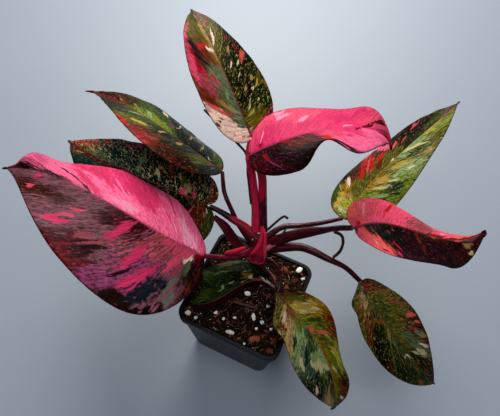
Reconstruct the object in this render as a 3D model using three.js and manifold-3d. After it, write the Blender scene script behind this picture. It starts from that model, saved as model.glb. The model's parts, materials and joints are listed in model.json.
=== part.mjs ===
// Pink princess philodendron (Philodendron erubescens) growing in a square nursery pot.
// Millimetres, +Z up. The origin is the centre of the pot's flat base, and the pot is square to X and Y.
import * as THREE from "three";
import { mergeVertices } from "three/addons/utils/BufferGeometryUtils.js";
import Module from "manifold-3d";

const wasm = await Module();
wasm.setup();

// Driving dimensions
const POT_RIM = 90; // outside width across the lip
const POT_BASE = 74; // outside width at the floor
const POT_HEIGHT = 90;
const LIP_HEIGHT = 8;
const LIP_STEP = 1.6; // how far the lip stands out of the wall
const LIP_ROUND = 0.8; // bevel of the lip's top edge
const LIP_SLOPE = 0.5; // height over which the wall steps out to the lip
const POT_WALL = 1.2;
const POT_FLOOR = 2;
const CORNER_BASE = 8; // corner radii
const CORNER_RIM = 10;
const DRAIN_HOLE = 9;
const DRAIN_INSET = 24; // from the pot's axis to each hole's centre, along X and Y
const SOIL_TOP = 87;
const CHIP_RISE = 0.2; // how far a chip's centre stands over the mix, as a share of its height
const BLADE = 1; // a leaf blade's thickness
const GAP = 0.3; // between pieces that touch
const TUBE_SIDES = 8;

// Finishes
const POT_BLACK = { color: 0x1c1c1f, roughness: 0.45 };
const PEAT = { color: 0x2a1c14, roughness: 0.95 };
const PERLITE_WHITE = { color: 0xe8e4d8, roughness: 0.9 };
const TWIG_BROWN = { color: 0x5b3a24, roughness: 0.9 };
const STEM_RED = { color: 0x4a1420, roughness: 0.5 };
const STALK_RED = { color: 0x5c1626, roughness: 0.4 };
const ROOT_BROWN = { color: 0x241a18, roughness: 0.7 };
const BARK_ROUGHNESS = 0.9;
const BLADE_ROUGHNESS = 0.4;

const plant = new THREE.Group();

// ---- solids and meshes -------------------------------------------------------------------------

function toSolid(geometry) {
  const bare = geometry.clone();
  bare.deleteAttribute("normal");
  bare.deleteAttribute("uv");
  const merged = mergeVertices(bare, 1e-4);
  return new wasm.Manifold(
    new wasm.Mesh({
      numProp: 3,
      vertProperties: new Float32Array(merged.attributes.position.array),
      triVerts: new Uint32Array(merged.index.array),
    }),
  );
}

function toGeometry(solid) {
  const mesh = solid.getMesh();
  const geometry = new THREE.BufferGeometry();
  geometry.setAttribute("position", new THREE.BufferAttribute(new Float32Array(mesh.vertProperties), 3));
  geometry.setIndex(new THREE.BufferAttribute(new Uint32Array(mesh.triVerts), 1));
  geometry.computeVertexNormals();
  return geometry;
}

// Points and triangles as a solid.
function fromPoints(points, faces) {
  const geometry = new THREE.BufferGeometry();
  const flat = new Float32Array(points.flatMap((p) => [p.x, p.y, p.z]));
  geometry.setAttribute("position", new THREE.BufferAttribute(flat, 3));
  geometry.setIndex(faces);
  return geometry;
}

// Where a cut leaves crumbs of a piece beside its body, only the body is kept.
function largest(solid) {
  return solid.decompose().reduce((best, body) => (body.volume() > best.volume() ? body : best));
}

const minus = (solid, cutters) => cutters.reduce((left, cutter) => left.subtract(cutter), solid);

function add(name, solid, finish) {
  const mesh = new THREE.Mesh(
    toGeometry(solid),
    new THREE.MeshStandardMaterial({ ...finish, metalness: 0 }),
  );
  mesh.name = name;
  plant.add(mesh);
}

const vec = ([x, y, z]) => new THREE.Vector3(x, y, z);
const mix = (a, b, t) => a + (b - a) * t;
const rad = THREE.MathUtils.degToRad;

// A closed skin over rings of points that all have the same count, ends included.
function loft(rings, startPoint, endPoint) {
  const count = rings[0].length;
  const points = [startPoint, ...rings.flat(), endPoint];
  const last = points.length - 1;
  const at = (ring, i) => 1 + ring * count + (i % count);
  const faces = [];
  for (let i = 0; i < count; i++) {
    faces.push(0, at(0, i + 1), at(0, i));
    faces.push(last, at(rings.length - 1, i), at(rings.length - 1, i + 1));
    for (let ring = 0; ring < rings.length - 1; ring++) {
      faces.push(at(ring, i), at(ring, i + 1), at(ring + 1, i + 1));
      faces.push(at(ring, i), at(ring + 1, i + 1), at(ring + 1, i));
    }
  }
  return toSolid(fromPoints(points, faces));
}

// ---- pot ---------------------------------------------------------------------------------------

// A square with round corners, level at z.
function squareRing(half, corner, z, perCorner = 5) {
  const ring = [];
  for (let quarter = 0; quarter < 4; quarter++) {
    const middle = rad(45 + 90 * quarter);
    const cx = Math.sign(Math.cos(middle)) * (half - corner);
    const cy = Math.sign(Math.sin(middle)) * (half - corner);
    for (let i = 0; i < perCorner; i++) {
      const a = rad(90 * quarter + (90 * i) / (perCorner - 1));
      ring.push(new THREE.Vector3(cx + corner * Math.cos(a), cy + corner * Math.sin(a), z));
    }
  }
  return ring;
}

const lipFoot = POT_HEIGHT - LIP_HEIGHT;
const wallTop = POT_RIM / 2 - LIP_STEP;
const wallHalf = (z) => (z < lipFoot ? mix(POT_BASE / 2, wallTop, z / lipFoot) : wallTop);
const wallCorner = (z) => mix(CORNER_BASE, CORNER_RIM, z / POT_HEIGHT);

// The pot's inner wall at z, or a ring that stays clear of it.
const insideRing = (z, clear = 0) =>
  squareRing(wallHalf(z) - POT_WALL - clear, wallCorner(z) - POT_WALL - clear, z);

function pot() {
  const outside = (z, half) => squareRing(half, wallCorner(z), z);
  const shell = loft(
    [
      outside(0, POT_BASE / 2),
      outside(lipFoot, wallTop),
      outside(lipFoot + LIP_SLOPE, POT_RIM / 2),
      outside(POT_HEIGHT - LIP_ROUND, POT_RIM / 2),
      outside(POT_HEIGHT, POT_RIM / 2 - LIP_ROUND),
      insideRing(POT_HEIGHT),
      insideRing(lipFoot),
      insideRing(POT_FLOOR),
    ],
    new THREE.Vector3(0, 0, 0),
    new THREE.Vector3(0, 0, POT_FLOOR),
  );
  const holes = [];
  for (const sx of [1, -1])
    for (const sy of [1, -1]) {
      const hole = new THREE.CylinderGeometry(DRAIN_HOLE / 2, DRAIN_HOLE / 2, 3 * POT_FLOOR, 12);
      hole.rotateX(Math.PI / 2).translate(sx * DRAIN_INSET, sy * DRAIN_INSET, POT_FLOOR / 2);
      holes.push(toSolid(hole));
    }
  return minus(shell, holes);
}

// ---- potting mix -------------------------------------------------------------------------------

// The mix lies in low waves, as it settles after watering.
function soilLevel(x, y) {
  const swell = 0.9 * Math.sin(0.21 * x + 1.3) * Math.cos(0.17 * y);
  const ripple = 0.5 * Math.sin(0.43 * y + 0.3 * x);
  return SOIL_TOP + swell + ripple;
}

function pottingMix() {
  const floor = POT_FLOOR + GAP;
  const edge = insideRing(SOIL_TOP - 2, GAP);
  const rings = [insideRing(floor, GAP), insideRing(lipFoot, GAP), edge];
  for (const share of [0.97, 0.78, 0.58, 0.38, 0.18]) {
    const place = (p) => [p.x * share, p.y * share];
    rings.push(edge.map((p) => new THREE.Vector3(...place(p), soilLevel(...place(p)))));
  }
  return loft(rings, new THREE.Vector3(0, 0, floor), new THREE.Vector3(0, 0, soilLevel(0, 0)));
}

// A crumb or chip: a rough stone shape, half sunk in the mix. long, wide and high are its sizes.
function chip({ at: [x, y], long, wide, high, turn }, grow = 0) {
  const geometry = new THREE.IcosahedronGeometry(1, 0);
  geometry.scale(long / 2 + grow, wide / 2 + grow, high / 2 + grow);
  geometry.rotateZ(rad(turn)).translate(x, y, soilLevel(x, y) + CHIP_RISE * high);
  return toSolid(geometry);
}

const perlite = [
  { at: [-37, -37], long: 6, wide: 5, high: 4, turn: 20 },
  { at: [-29, -38], long: 4, wide: 3, high: 3, turn: 70 },
  { at: [1, -1], long: 6, wide: 5, high: 4, turn: 10 },
  { at: [-16, -27], long: 4, wide: 3, high: 3, turn: 40 },
  { at: [14, -17], long: 8, wide: 4, high: 4, turn: 120 },
  { at: [22, -18], long: 4, wide: 4, high: 3, turn: 15 },
  { at: [21, -3], long: 4, wide: 3, high: 3, turn: 55 },
  { at: [-8, -29], long: 4, wide: 3, high: 3, turn: 85 },
  { at: [0, -24], long: 4, wide: 3, high: 3, turn: 30 },
  { at: [2, -37], long: 9, wide: 4, high: 4, turn: 12 },
  { at: [20, -25], long: 3, wide: 3, high: 2, turn: 0 },
  { at: [31, -20], long: 3, wide: 3, high: 2, turn: 45 },
  { at: [16, -40], long: 3, wide: 3, high: 2, turn: 65 },
  { at: [-12, -39], long: 3, wide: 3, high: 2, turn: 25 },
  { at: [33, 38], long: 8, wide: 5, high: 4, turn: 60 },
  { at: [39, 32], long: 4, wide: 3, high: 3, turn: 35 },
  { at: [17, 40], long: 5, wide: 4, high: 3, turn: 110 },
  { at: [12, 23], long: 4, wide: 3, high: 3, turn: 75 },
  { at: [8, 11], long: 3, wide: 3, high: 2, turn: 5 },
];

const bark = [
  { at: [22, -33], long: 11, wide: 6, high: 4, turn: 35, color: 0xa2512a },
  { at: [37, -28], long: 8, wide: 5, high: 4, turn: 80, color: 0x6d2a18 },
  { at: [37, -37], long: 7, wide: 5, high: 3, turn: 20, color: 0x7d3420 },
  { at: [22, 33], long: 9, wide: 5, high: 4, turn: 140, color: 0x7a3020 },
  { at: [33, 27], long: 7, wide: 5, high: 4, turn: 60, color: 0x62281a },
  { at: [29, 18], long: 7, wide: 4, high: 3, turn: 100, color: 0x8a4326 },
];

const twig = {
  path: [[-6, -12, 88.7], [4, -11, 89.2], [13, -9, 88.7]],
  radii: [1, 1.2, 0.9],
  steps: 4,
};

// ---- stem, petioles, sheaths and aerial roots --------------------------------------------------

// A stalk along a smooth path. radii are spaced evenly along it; flat squashes the section to
// one side, and grow makes the thicker solid that neighbours are cut with.
function stalk({ path, radii, flat = 1, steps = 10 }, grow = 0) {
  const curve = new THREE.CatmullRomCurve3(path.map(vec), false, "centripetal");
  const frames = curve.computeFrenetFrames(steps, false);
  const rings = [];
  for (let i = 0; i <= steps; i++) {
    const place = (i / steps) * (radii.length - 1);
    const low = Math.min(Math.floor(place), radii.length - 2);
    const r = mix(radii[low], radii[low + 1], place - low) + grow;
    const centre = curve.getPointAt(i / steps);
    const ring = [];
    for (let k = 0; k < TUBE_SIDES; k++) {
      const a = (2 * Math.PI * k) / TUBE_SIDES;
      const point = centre.clone().addScaledVector(frames.normals[i], r * Math.cos(a));
      ring.push(point.addScaledVector(frames.binormals[i], r * flat * Math.sin(a)));
    }
    rings.push(ring);
  }
  const end = (t, way) => curve.getPointAt(t).addScaledVector(curve.getTangentAt(t), way * grow);
  return loft(rings, end(0, -1), end(1, 1));
}

const stem = {
  path: [[1, 25, 72], [1, 24, 90], [-2, 27, 110], [-6, 30, 134]],
  radii: [4.5, 5, 5.5, 6.5, 6],
};

// Each petiole runs from the stem to its blade, and is wider where its base sheathes the stem.
const petioles = {
  front_left: {
    path: [[-5, 27, 118], [-13, 13, 125], [-22, -1, 139], [-32.6, -10.4, 150.6]],
    radii: [3.5, 2.4, 2, 1.8],
  },
  middle_left: {
    path: [[-10, 34, 125], [-21, 36, 129], [-32, 36, 133], [-44, 36, 137], [-52, 36, 138]],
    radii: [4, 3.6, 3, 2.4, 2],
  },
  upper_left: {
    path: [[-8, 30, 112], [-25, 36, 126], [-36, 42, 138], [-45, 49, 145], [-51, 58, 147.5], [-55, 65, 147.5]],
    radii: [2.4, 2, 1.9, 1.8, 1.7],
  },
  top: {
    path: [[-10, 36, 130], [-17, 48, 148], [-27, 61, 166], [-33, 67, 181], [-36, 76, 188]],
    radii: [4, 3.6, 3.3, 3, 2.4],
  },
  upper_right: {
    path: [[-5, 38, 130], [-13, 52, 152], [-19, 61, 171], [-25, 60, 188], [-29, 57, 194]],
    radii: [4, 3.6, 3.4, 3.1, 2.4],
  },
  right: {
    path: [[-2, 34, 126], [8, 50, 128], [20, 57, 128], [33, 67, 126], [50, 82, 124]],
    radii: [3, 2.4, 2, 1.8, 1.7],
  },
  right_front: {
    path: [[-2, 32, 120], [24, 45, 138], [39, 49, 149], [50, 50, 160], [59, 51, 166]],
    radii: [4, 4.4, 4.2, 2.2, 2],
  },
  lower_right: {
    path: [[-2, 30, 114], [27, 41, 124], [38, 41, 126], [53, 40, 126], [67, 41, 122], [83, 38, 115]],
    radii: [4, 3.8, 3, 2.2, 2],
  },
  bottom: {
    path: [[1, 28, 104], [13, 24, 111], [21, 16, 114], [24, 9, 112], [25, 3, 110]],
    radii: [2, 1.5, 1.3, 1.3],
  },
  low_left: {
    path: [[1, 26, 95], [13, 20, 97], [19, 14, 99], [21.5, 9, 100.5]],
    radii: [2, 1.5, 1.3],
  },
};

// Sheaths are the thin wings and hoods that are left where a leaf came out.
const sheaths = {
  sheath_open_red: {
    path: [[-6, 35, 144], [-1, 27, 138], [0, 20, 128], [-1, 16, 118], [-1, 15, 113]],
    radii: [2, 4, 5, 5, 2.6],
    flat: 0.6,
  },
  sheath_old_left: {
    path: [[-44, 28, 140], [-35, 27, 134], [-27, 25, 126], [-18, 23, 118], [-6, 24, 108]],
    radii: [2, 4.5, 4.5, 4, 3.5],
    flat: 0.35,
  },
  sheath_flap_red: {
    path: [[-22, 4, 138], [-17, 10, 134], [-11, 18, 131]],
    radii: [0.8, 2.2, 1.4],
    flat: 0.5,
    steps: 5,
  },
  sheath_remnant: {
    path: [[2, 28, 122], [6, 33, 124], [9, 34, 126]],
    radii: [2.4, 2.6, 1.2],
    steps: 5,
  },
};

const roots = {
  aerial_root_long: {
    path: [[-20, 46, 150], [-30, 60, 166], [-36, 69, 178], [-44, 72, 182], [-62, 79, 185], [-82, 88, 187]],
    radii: [1.1, 1, 1, 0.8],
    steps: 14,
  },
  aerial_root_hook: {
    path: [[-5, 40, 122], [-1, 44, 130], [5, 52, 138], [7, 53, 140], [10, 53, 139]],
    radii: [1.2, 1, 0.9],
  },
  aerial_root_loop: {
    path: [[48, 51, 151], [54, 52, 148], [57, 50, 144], [58, 47, 136], [57, 45, 131], [55, 42, 128]],
    radii: [1.3, 1.2, 1.2],
  },
  aerial_root_nub: {
    path: [[10, 41, 130], [12, 46, 136]],
    radii: [1, 0.6],
    steps: 3,
  },
};

// ---- leaf blades -------------------------------------------------------------------------------

// The heart-shaped half outline, on a midrib of length 1 and a half width of 1
const WIDEST_AT = 0.4; // the share of the outline's run at which it is widest
const LOBE_REACH = 1.75; // how far back the notch's handle reaches, in lobe lengths
const LOBE_ROUND = 0.8; // length of the handle that rounds the basal lobe
const NOTCH_OPEN = 0.12; // how fast the notch opens
const SHOULDER = 0.36; // length of the handle past the widest place
const TIP_SLIM = 0.1; // half width of the handle before the tip
// The side veins
const VEIN_CROWD = 2.4; // how much they crowd towards the blade's base
const VEIN_SWEEP = 0.55; // 1 is a straight vein, and less curves it towards the tip

function bezier(points, t) {
  const a = 1 - t;
  const weights = [a * a * a, 3 * a * a * t, 3 * a * t * t, t * t * t];
  return points.reduce((sum, p, i) => sum.addScaledVector(p, weights[i]), new THREE.Vector3());
}

function bezierTangent(points, t) {
  const a = 1 - t;
  const weights = [3 * a * a, 6 * a * t, 3 * t * t];
  const sum = new THREE.Vector3();
  weights.forEach((w, i) => sum.addScaledVector(points[i + 1], w).addScaledVector(points[i], -w));
  return sum;
}

// Half of the outline: s runs from the notch (0) past the widest place to the tip (1).
// Returns the place along the midrib and the share of the half width.
function outline({ lobe, widest, taper }, s) {
  const cubic = (t, a, b, c, d) =>
    (1 - t) ** 3 * a + 3 * (1 - t) ** 2 * t * b + 3 * (1 - t) * t * t * c + t ** 3 * d;
  if (s < WIDEST_AT) {
    const t = s / WIDEST_AT;
    const x = cubic(t, 0, -LOBE_REACH * lobe, widest - LOBE_ROUND * (widest + lobe), widest);
    return [x, cubic(t, 0, NOTCH_OPEN, 1, 1)];
  }
  const t = (s - WIDEST_AT) / (1 - WIDEST_AT);
  const x = cubic(t, widest, widest + SHOULDER * (1 - widest), taper, 1);
  return [x, cubic(t, 1, 1, TIP_SLIM, 0)];
}

// A point of the blade: s picks the side vein, v runs along it from midrib (0) to margin (1),
// and side is 1 for the left half and -1 for the right, seen from the base with the face up.
function bladePoint(leaf, s, v, side) {
  const half = side > 0 ? 0 : 1;
  const width = leaf.halfWidth[half];
  const [marginX, marginY] = outline(leaf, s);
  const root = s ** VEIN_CROWD;
  const x = root + (marginX - root) * (VEIN_SWEEP * v + (1 - VEIN_SWEEP) * v * v);
  const y = marginY * v * width;
  const along = THREE.MathUtils.clamp(x, 0, 1);
  const rib = leaf.midrib.map(vec);
  const centre = bezier(rib, along).addScaledVector(bezierTangent(rib, 0), Math.min(x, 0));
  const forward = bezierTangent(rib, along).normalize();
  const up = new THREE.Vector3(0, 0, 1).addScaledVector(forward, -forward.z).normalize();
  const left = new THREE.Vector3().crossVectors(up, forward);
  const [rollBase, rollTip, rollMiddle] = leaf.roll;
  const roll = rad(mix(rollBase, rollTip, along) + rollMiddle * 4 * along * (1 - along));
  const normal = up.clone().multiplyScalar(Math.cos(roll)).addScaledVector(left, Math.sin(roll));
  const across = left.clone().multiplyScalar(Math.cos(roll)).addScaledVector(up, -Math.sin(roll));
  const fold = rad(mix(leaf.fold[half][0], leaf.fold[half][1], along));
  const bend = rad(leaf.curl[half]) / width;
  let out = (Math.sin(fold + bend * y) - Math.sin(fold)) / bend;
  let rise = (Math.cos(fold) - Math.cos(fold + bend * y)) / bend;
  for (const ruffle of leaf.ruffles ?? []) {
    if (ruffle.side !== side) continue;
    const share = v ** 3 * Math.exp(-(((x - ruffle.at) / ruffle.reach) ** 2));
    rise += ruffle.lift * share;
    out += ruffle.spread * share;
  }
  return centre.addScaledVector(across, side * out).addScaledVector(normal, rise);
}

// The blade as a thin closed solid: a middle surface, moved half a thickness each way.
function blade(leaf, grow = 0) {
  const { stations = 12, lanes = 4 } = leaf;
  const points = [];
  const index = new Map();
  const id = (half, i, j) => {
    const pole = i === 0 || i === stations;
    const key = pole ? `pole${i}` : j === 0 ? `rib${i}` : `${half}.${i}.${j}`;
    if (!index.has(key)) {
      index.set(key, points.length);
      const wider = 1 + (grow / leaf.halfWidth[half]) * (j / lanes);
      points.push(bladePoint(leaf, i / stations, (j / lanes) * wider, half ? -1 : 1));
    }
    return index.get(key);
  };
  const faces = [];
  const triangle = (a, b, c) => {
    if (a !== b && b !== c && a !== c) faces.push(a, b, c);
  };
  for (const half of [0, 1])
    for (let i = 0; i < stations; i++)
      for (let j = 0; j < lanes; j++) {
        const [a, b] = [id(half, i, j), id(half, i + 1, j)];
        const [c, d] = [id(half, i + 1, j + 1), id(half, i, j + 1)];
        if (half === 0) {
          triangle(a, b, c);
          triangle(a, c, d);
        } else {
          triangle(a, c, b);
          triangle(a, d, c);
        }
      }
  const middle = fromPoints(points, faces);
  middle.computeVertexNormals();
  const count = points.length;
  const moved = (k, distance) => {
    const normal = new THREE.Vector3().fromBufferAttribute(middle.attributes.normal, k);
    return points[k].clone().addScaledVector(normal, distance);
  };
  const face = points.map((p, k) => moved(k, BLADE / 2 + grow));
  const back = points.map((p, k) => moved(k, -BLADE / 2 - grow));
  const skin = [...faces];
  for (let f = 0; f < faces.length; f += 3)
    skin.push(faces[f] + count, faces[f + 2] + count, faces[f + 1] + count);
  for (let i = 0; i < stations; i++) {
    const margin = [[id(0, i + 1, lanes), id(0, i, lanes)], [id(1, i, lanes), id(1, i + 1, lanes)]];
    for (const [a, b] of margin) skin.push(a, a + count, b + count, a, b + count, b);
  }
  return toSolid(fromPoints([...face, ...back], skin));
}

// midrib holds a cubic Bezier's four points. Each pair is for the left and the right half:
// halfWidth, fold (degrees above level at the midrib, for the base and the tip) and curl (degrees
// from midrib to margin). roll turns the whole blade at its base, its tip and its middle.
// lobe, widest and taper are places along the midrib, and a ruffle lifts or spreads the margin.
const leaves = {
  front_left: {
    midrib: [[-33, -11, 151], [-75, -26, 191], [-130, -11, 204], [-185, -24, 184]],
    halfWidth: [59, 47], roll: [1, -10, -11], fold: [[-9, -3], [-10, -11]], curl: [13, -16],
    lobe: 0.03, widest: 0.32, taper: 0.91, color: 0xb0466c, stations: 14, lanes: 5,
    ruffles: [
      { side: -1, lift: 10, spread: 0, at: 0.88, reach: 0.06 },
      { side: -1, lift: 1, spread: 4, at: 0.59, reach: 0.14 },
      { side: 1, lift: 3, spread: 6, at: 0.19, reach: 0.14 },
    ],
  },
  middle_left: {
    midrib: [[-55, 36, 139], [-85, 25, 158], [-161, 27, 155], [-202, 48, 126]],
    halfWidth: [51, 48], roll: [-4, 9, -8], fold: [[-9, -16], [14, 15]], curl: [-21, -56],
    lobe: 0.11, widest: 0.27, taper: 0.84, color: 0x2c3429,
  },
  upper_left: {
    midrib: [[-56, 66, 148], [-105, 67, 169], [-156, 87, 166], [-202, 90, 151]],
    halfWidth: [44, 45], roll: [-22, -5, -14], fold: [[19, 26], [-6, 9]], curl: [-25, -36],
    lobe: 0.01, widest: 0.28, taper: 0.82, color: 0x35402c,
  },
  top: {
    midrib: [[-37, 78, 189], [-61, 95, 213], [-103, 130, 234], [-128, 156, 218]],
    halfWidth: [39, 38], roll: [-19, -2, -16], fold: [[12, 12], [9, 9]], curl: [-7, -12],
    lobe: 0.04, widest: 0.3, taper: 0.82, color: 0x5a5a3c,
  },
  upper_right: {
    midrib: [[-29, 57, 195], [-1, 70, 224], [47, 119, 220], [64, 129, 174]],
    halfWidth: [40, 37], roll: [8, -12, 25], fold: [[9, 0], [5, -6]], curl: [-6, -33],
    lobe: 0.01, widest: 0.3, taper: 0.83, color: 0xd8386e, stations: 14, lanes: 5,
    ruffles: [
      { side: -1, lift: 10, spread: -19, at: 0.4, reach: 0.08 },
      { side: -1, lift: -3, spread: -10, at: 0.29, reach: 0.17 },
      { side: 1, lift: 8, spread: 9, at: 0.81, reach: 0.12 },
    ],
  },
  right: {
    midrib: [[51, 83, 124], [63, 140, 141], [91, 170, 171], [103, 200, 178]],
    halfWidth: [38, 31], roll: [14, 2, 13], fold: [[-10, -10], [9, 4]], curl: [-23, -20],
    lobe: 0.01, widest: 0.24, taper: 0.88, color: 0x77803a,
  },
  right_front: {
    midrib: [[61, 51, 168], [85, 76, 176], [133, 67, 146], [157, 109, 143]],
    halfWidth: [34, 36], roll: [9, 28, -8], fold: [[0, -11], [8, -3]], curl: [-28, 14],
    lobe: 0.04, widest: 0.24, taper: 0.81, color: 0xb84a55, stations: 14,
    ruffles: [
      { side: -1, lift: -12, spread: 5, at: 0.77, reach: 0.19 },
      { side: 1, lift: 4, spread: -4, at: 0.16, reach: 0.15 },
    ],
  },
  lower_right: {
    midrib: [[84, 38, 115], [115, 12, 105], [156, -1, 88], [173, 5, 59]],
    halfWidth: [35, 34], roll: [41, -22, 2], fold: [[10, 16], [14, 17]], curl: [-15, -29],
    lobe: 0.03, widest: 0.26, taper: 0.83, color: 0x3b3325,
    ruffles: [
      { side: -1, lift: -2, spread: 5, at: 0.07, reach: 0.04 },
      { side: -1, lift: -3, spread: -4, at: 0.3, reach: 0.11 },
    ],
  },
  bottom: {
    midrib: [[25, 2, 109], [78, -19, 109], [101, -43, 88], [101, -49, 53]],
    halfWidth: [32, 36], roll: [41, 25, -27], fold: [[18, 13], [30, 24]], curl: [-21, -17],
    lobe: 0.02, widest: 0.28, taper: 0.81, color: 0x6b6a3c,
    ruffles: [
      { side: 1, lift: -1, spread: 6, at: 0.89, reach: 0.1 },
      { side: -1, lift: -4, spread: 6, at: 0.11, reach: 0.06 },
      { side: 1, lift: -2, spread: -15, at: 0.45, reach: 0.2 },
    ],
  },
  low_left: {
    midrib: [[22, 8, 101], [-11, 17, 112], [-7, -34, 104], [-40, -32, 99]],
    halfWidth: [12, 30], roll: [-18, -7, -3], fold: [[-75, -70], [6, 13]], curl: [-60, -5],
    lobe: -0.08, widest: 0.69, taper: 0.88, color: 0x2b3320,
  },
};

// ---- assembly ----------------------------------------------------------------------------------

const stemCutter = stalk(stem, GAP);
const chips = [
  ...perlite.map((bit, i) => ({ name: `perlite_${i + 1}`, bit, finish: PERLITE_WHITE })),
  ...bark.map((bit, i) => ({
    name: `bark_chip_${i + 1}`,
    bit,
    finish: { color: bit.color, roughness: BARK_ROUGHNESS },
  })),
];

add("nursery_pot", pot(), POT_BLACK);
const sunk = [stemCutter, stalk(twig, GAP), ...chips.map(({ bit }) => chip(bit, GAP))];
add("potting_mix", largest(minus(pottingMix(), sunk)), PEAT);
for (const { name, bit, finish } of chips) add(name, chip(bit), finish);
add("twig", stalk(twig), TWIG_BROWN);
add("stem", stalk(stem), STEM_RED);

for (const [place, leaf] of Object.entries(leaves))
  add(`leaf_${place}`, blade(leaf), { color: leaf.color, roughness: BLADE_ROUGHNESS });

// Each stalk gives way to the ones laid before it, and a petiole to the blade that it carries.
const laid = [stemCutter];
function lay(name, shape, finish, extraCutters = []) {
  add(name, largest(minus(stalk(shape), [...laid, ...extraCutters])), finish);
  laid.push(stalk(shape, GAP));
}
for (const [place, shape] of Object.entries(petioles))
  lay(`petiole_${place}`, shape, STALK_RED, [blade(leaves[place], GAP)]);
for (const [name, shape] of Object.entries(sheaths)) lay(name, shape, STALK_RED);
for (const [name, shape] of Object.entries(roots)) lay(name, shape, ROOT_BROWN);

export default plant;
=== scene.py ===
import json
import math
import bmesh
import bpy
import numpy as np
from mathutils import Matrix, Vector, noise

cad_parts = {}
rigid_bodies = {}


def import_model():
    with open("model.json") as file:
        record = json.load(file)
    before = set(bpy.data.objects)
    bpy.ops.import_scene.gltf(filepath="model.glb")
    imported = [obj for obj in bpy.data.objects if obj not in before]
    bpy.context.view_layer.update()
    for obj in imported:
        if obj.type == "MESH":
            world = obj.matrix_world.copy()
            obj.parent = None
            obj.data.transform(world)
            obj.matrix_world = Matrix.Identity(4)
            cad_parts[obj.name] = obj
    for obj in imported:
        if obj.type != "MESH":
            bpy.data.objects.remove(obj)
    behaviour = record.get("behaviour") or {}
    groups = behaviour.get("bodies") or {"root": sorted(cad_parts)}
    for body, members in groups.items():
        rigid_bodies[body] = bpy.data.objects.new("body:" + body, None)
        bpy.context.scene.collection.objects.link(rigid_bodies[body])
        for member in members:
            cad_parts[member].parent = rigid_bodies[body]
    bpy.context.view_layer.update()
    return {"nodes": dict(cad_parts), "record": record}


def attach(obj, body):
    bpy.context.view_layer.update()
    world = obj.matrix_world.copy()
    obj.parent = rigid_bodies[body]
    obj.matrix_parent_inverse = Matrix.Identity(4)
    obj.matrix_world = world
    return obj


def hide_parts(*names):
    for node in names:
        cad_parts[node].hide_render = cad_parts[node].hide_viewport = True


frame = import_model()

# ---- camera ------------------------------------------------------------------------------------
# Looks down steeply on the plant from its front right corner, a little rolled, as one stands over
# a plant on a table. The lens is a short one, so the near leaves look big.

MM = 0.001
CAMERA_AZIMUTH = math.radians(20.5)
CAMERA_ELEVATION = math.radians(58.9)
CAMERA_ROLL = math.radians(4.76)
CAMERA_DISTANCE = 432.6 * MM
CAMERA_TARGET = Vector((-32.1, 76.2, 90)) * MM
SENSOR = 36
FOCAL_SHARE = 0.92  # focal length over the picture's width

back = Vector((
    math.sin(CAMERA_AZIMUTH) * math.cos(CAMERA_ELEVATION),
    -math.cos(CAMERA_AZIMUTH) * math.cos(CAMERA_ELEVATION),
    math.sin(CAMERA_ELEVATION),
))
level = Vector((math.cos(CAMERA_AZIMUTH), math.sin(CAMERA_AZIMUTH), 0))
right = level * math.cos(CAMERA_ROLL) + back.cross(level) * math.sin(CAMERA_ROLL)
camera = bpy.data.objects.new("camera", bpy.data.cameras.new("camera"))
camera.data.sensor_width = SENSOR
camera.data.lens = SENSOR * FOCAL_SHARE
camera.data.clip_start = 10 * MM
camera.matrix_world = Matrix((right, back.cross(right), back)).transposed().to_4x4()
camera.matrix_world.translation = CAMERA_TARGET + back * CAMERA_DISTANCE
bpy.context.collection.objects.link(camera)
bpy.context.scene.camera = camera

# ---- nursery pot -------------------------------------------------------------------------------
# A thin square pot, moulded in black polypropylene with a stepped lip. Its satin skin has fine
# scuffs from handling and a little dust below the lip. Four drain holes go through the floor.

POT_RIM = 90
POT_BASE = 74
POT_HEIGHT = 90
LIP_HEIGHT = 8
LIP_STEP = 1.6
LIP_SLOPE = 0.5
STEP_ROUND = 0.2  # rounding of the step under the lip
RIM_ROUND = 0.7
MOUTH_BEVEL = 0.3  # how far the lip's inner edge is bevelled, and how deep
MOUTH_BEVEL_DEPTH = 0.4
FOOT_ROUND = 1.2
POT_WALL = 1.2
POT_FLOOR = 2
CORNER_BASE = 8
CORNER_RIM = 10
WALL_RINGS = (20, 41, 62)  # heights at which the wall is ringed
INSIDE_RING = 40  # height of the one ring between floor and lip on the inside
LIP_FOOT = POT_HEIGHT - LIP_HEIGHT
WALL_TOP = POT_RIM / 2 - LIP_STEP
DRAIN_HOLE = 9
DRAIN_INSET = 24
SLOT_OF = {part["node"]: part["material_slot"] for part in frame["record"]["subparts"]}


def find_socket(sockets, key):
    """The socket with this identifier, or else with this name or number."""
    named = [socket for socket in sockets if socket.identifier == key]
    return named[0] if named else sockets[key]


class Value:
    """A shader socket. Arithmetic on it adds Math nodes to its finish."""

    def __init__(self, finish, socket):
        self.finish = finish
        self.socket = socket

    def math(self, operation, *terms):
        settings = {"operation": operation}
        return self.finish.node("ShaderNodeMath", settings, dict(enumerate(terms)))

    def __add__(self, other):
        return self.math("ADD", self, other)

    def __sub__(self, other):
        return self.math("SUBTRACT", self, other)

    def __rsub__(self, other):
        return self.math("SUBTRACT", other, self)

    def __mul__(self, other):
        return self.math("MULTIPLY", self, other)

    __radd__ = __add__
    __rmul__ = __mul__

    def magnitude(self):
        return self.math("ABSOLUTE", self)

    def step(self, low, high):
        """0 below low and 1 above high, with a smooth rise between, or a fall if high is lower."""
        sockets = {"Value": self, "From Min": low, "From Max": high}
        return self.finish.node("ShaderNodeMapRange", {"interpolation_type": "SMOOTHSTEP"}, sockets)


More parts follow.
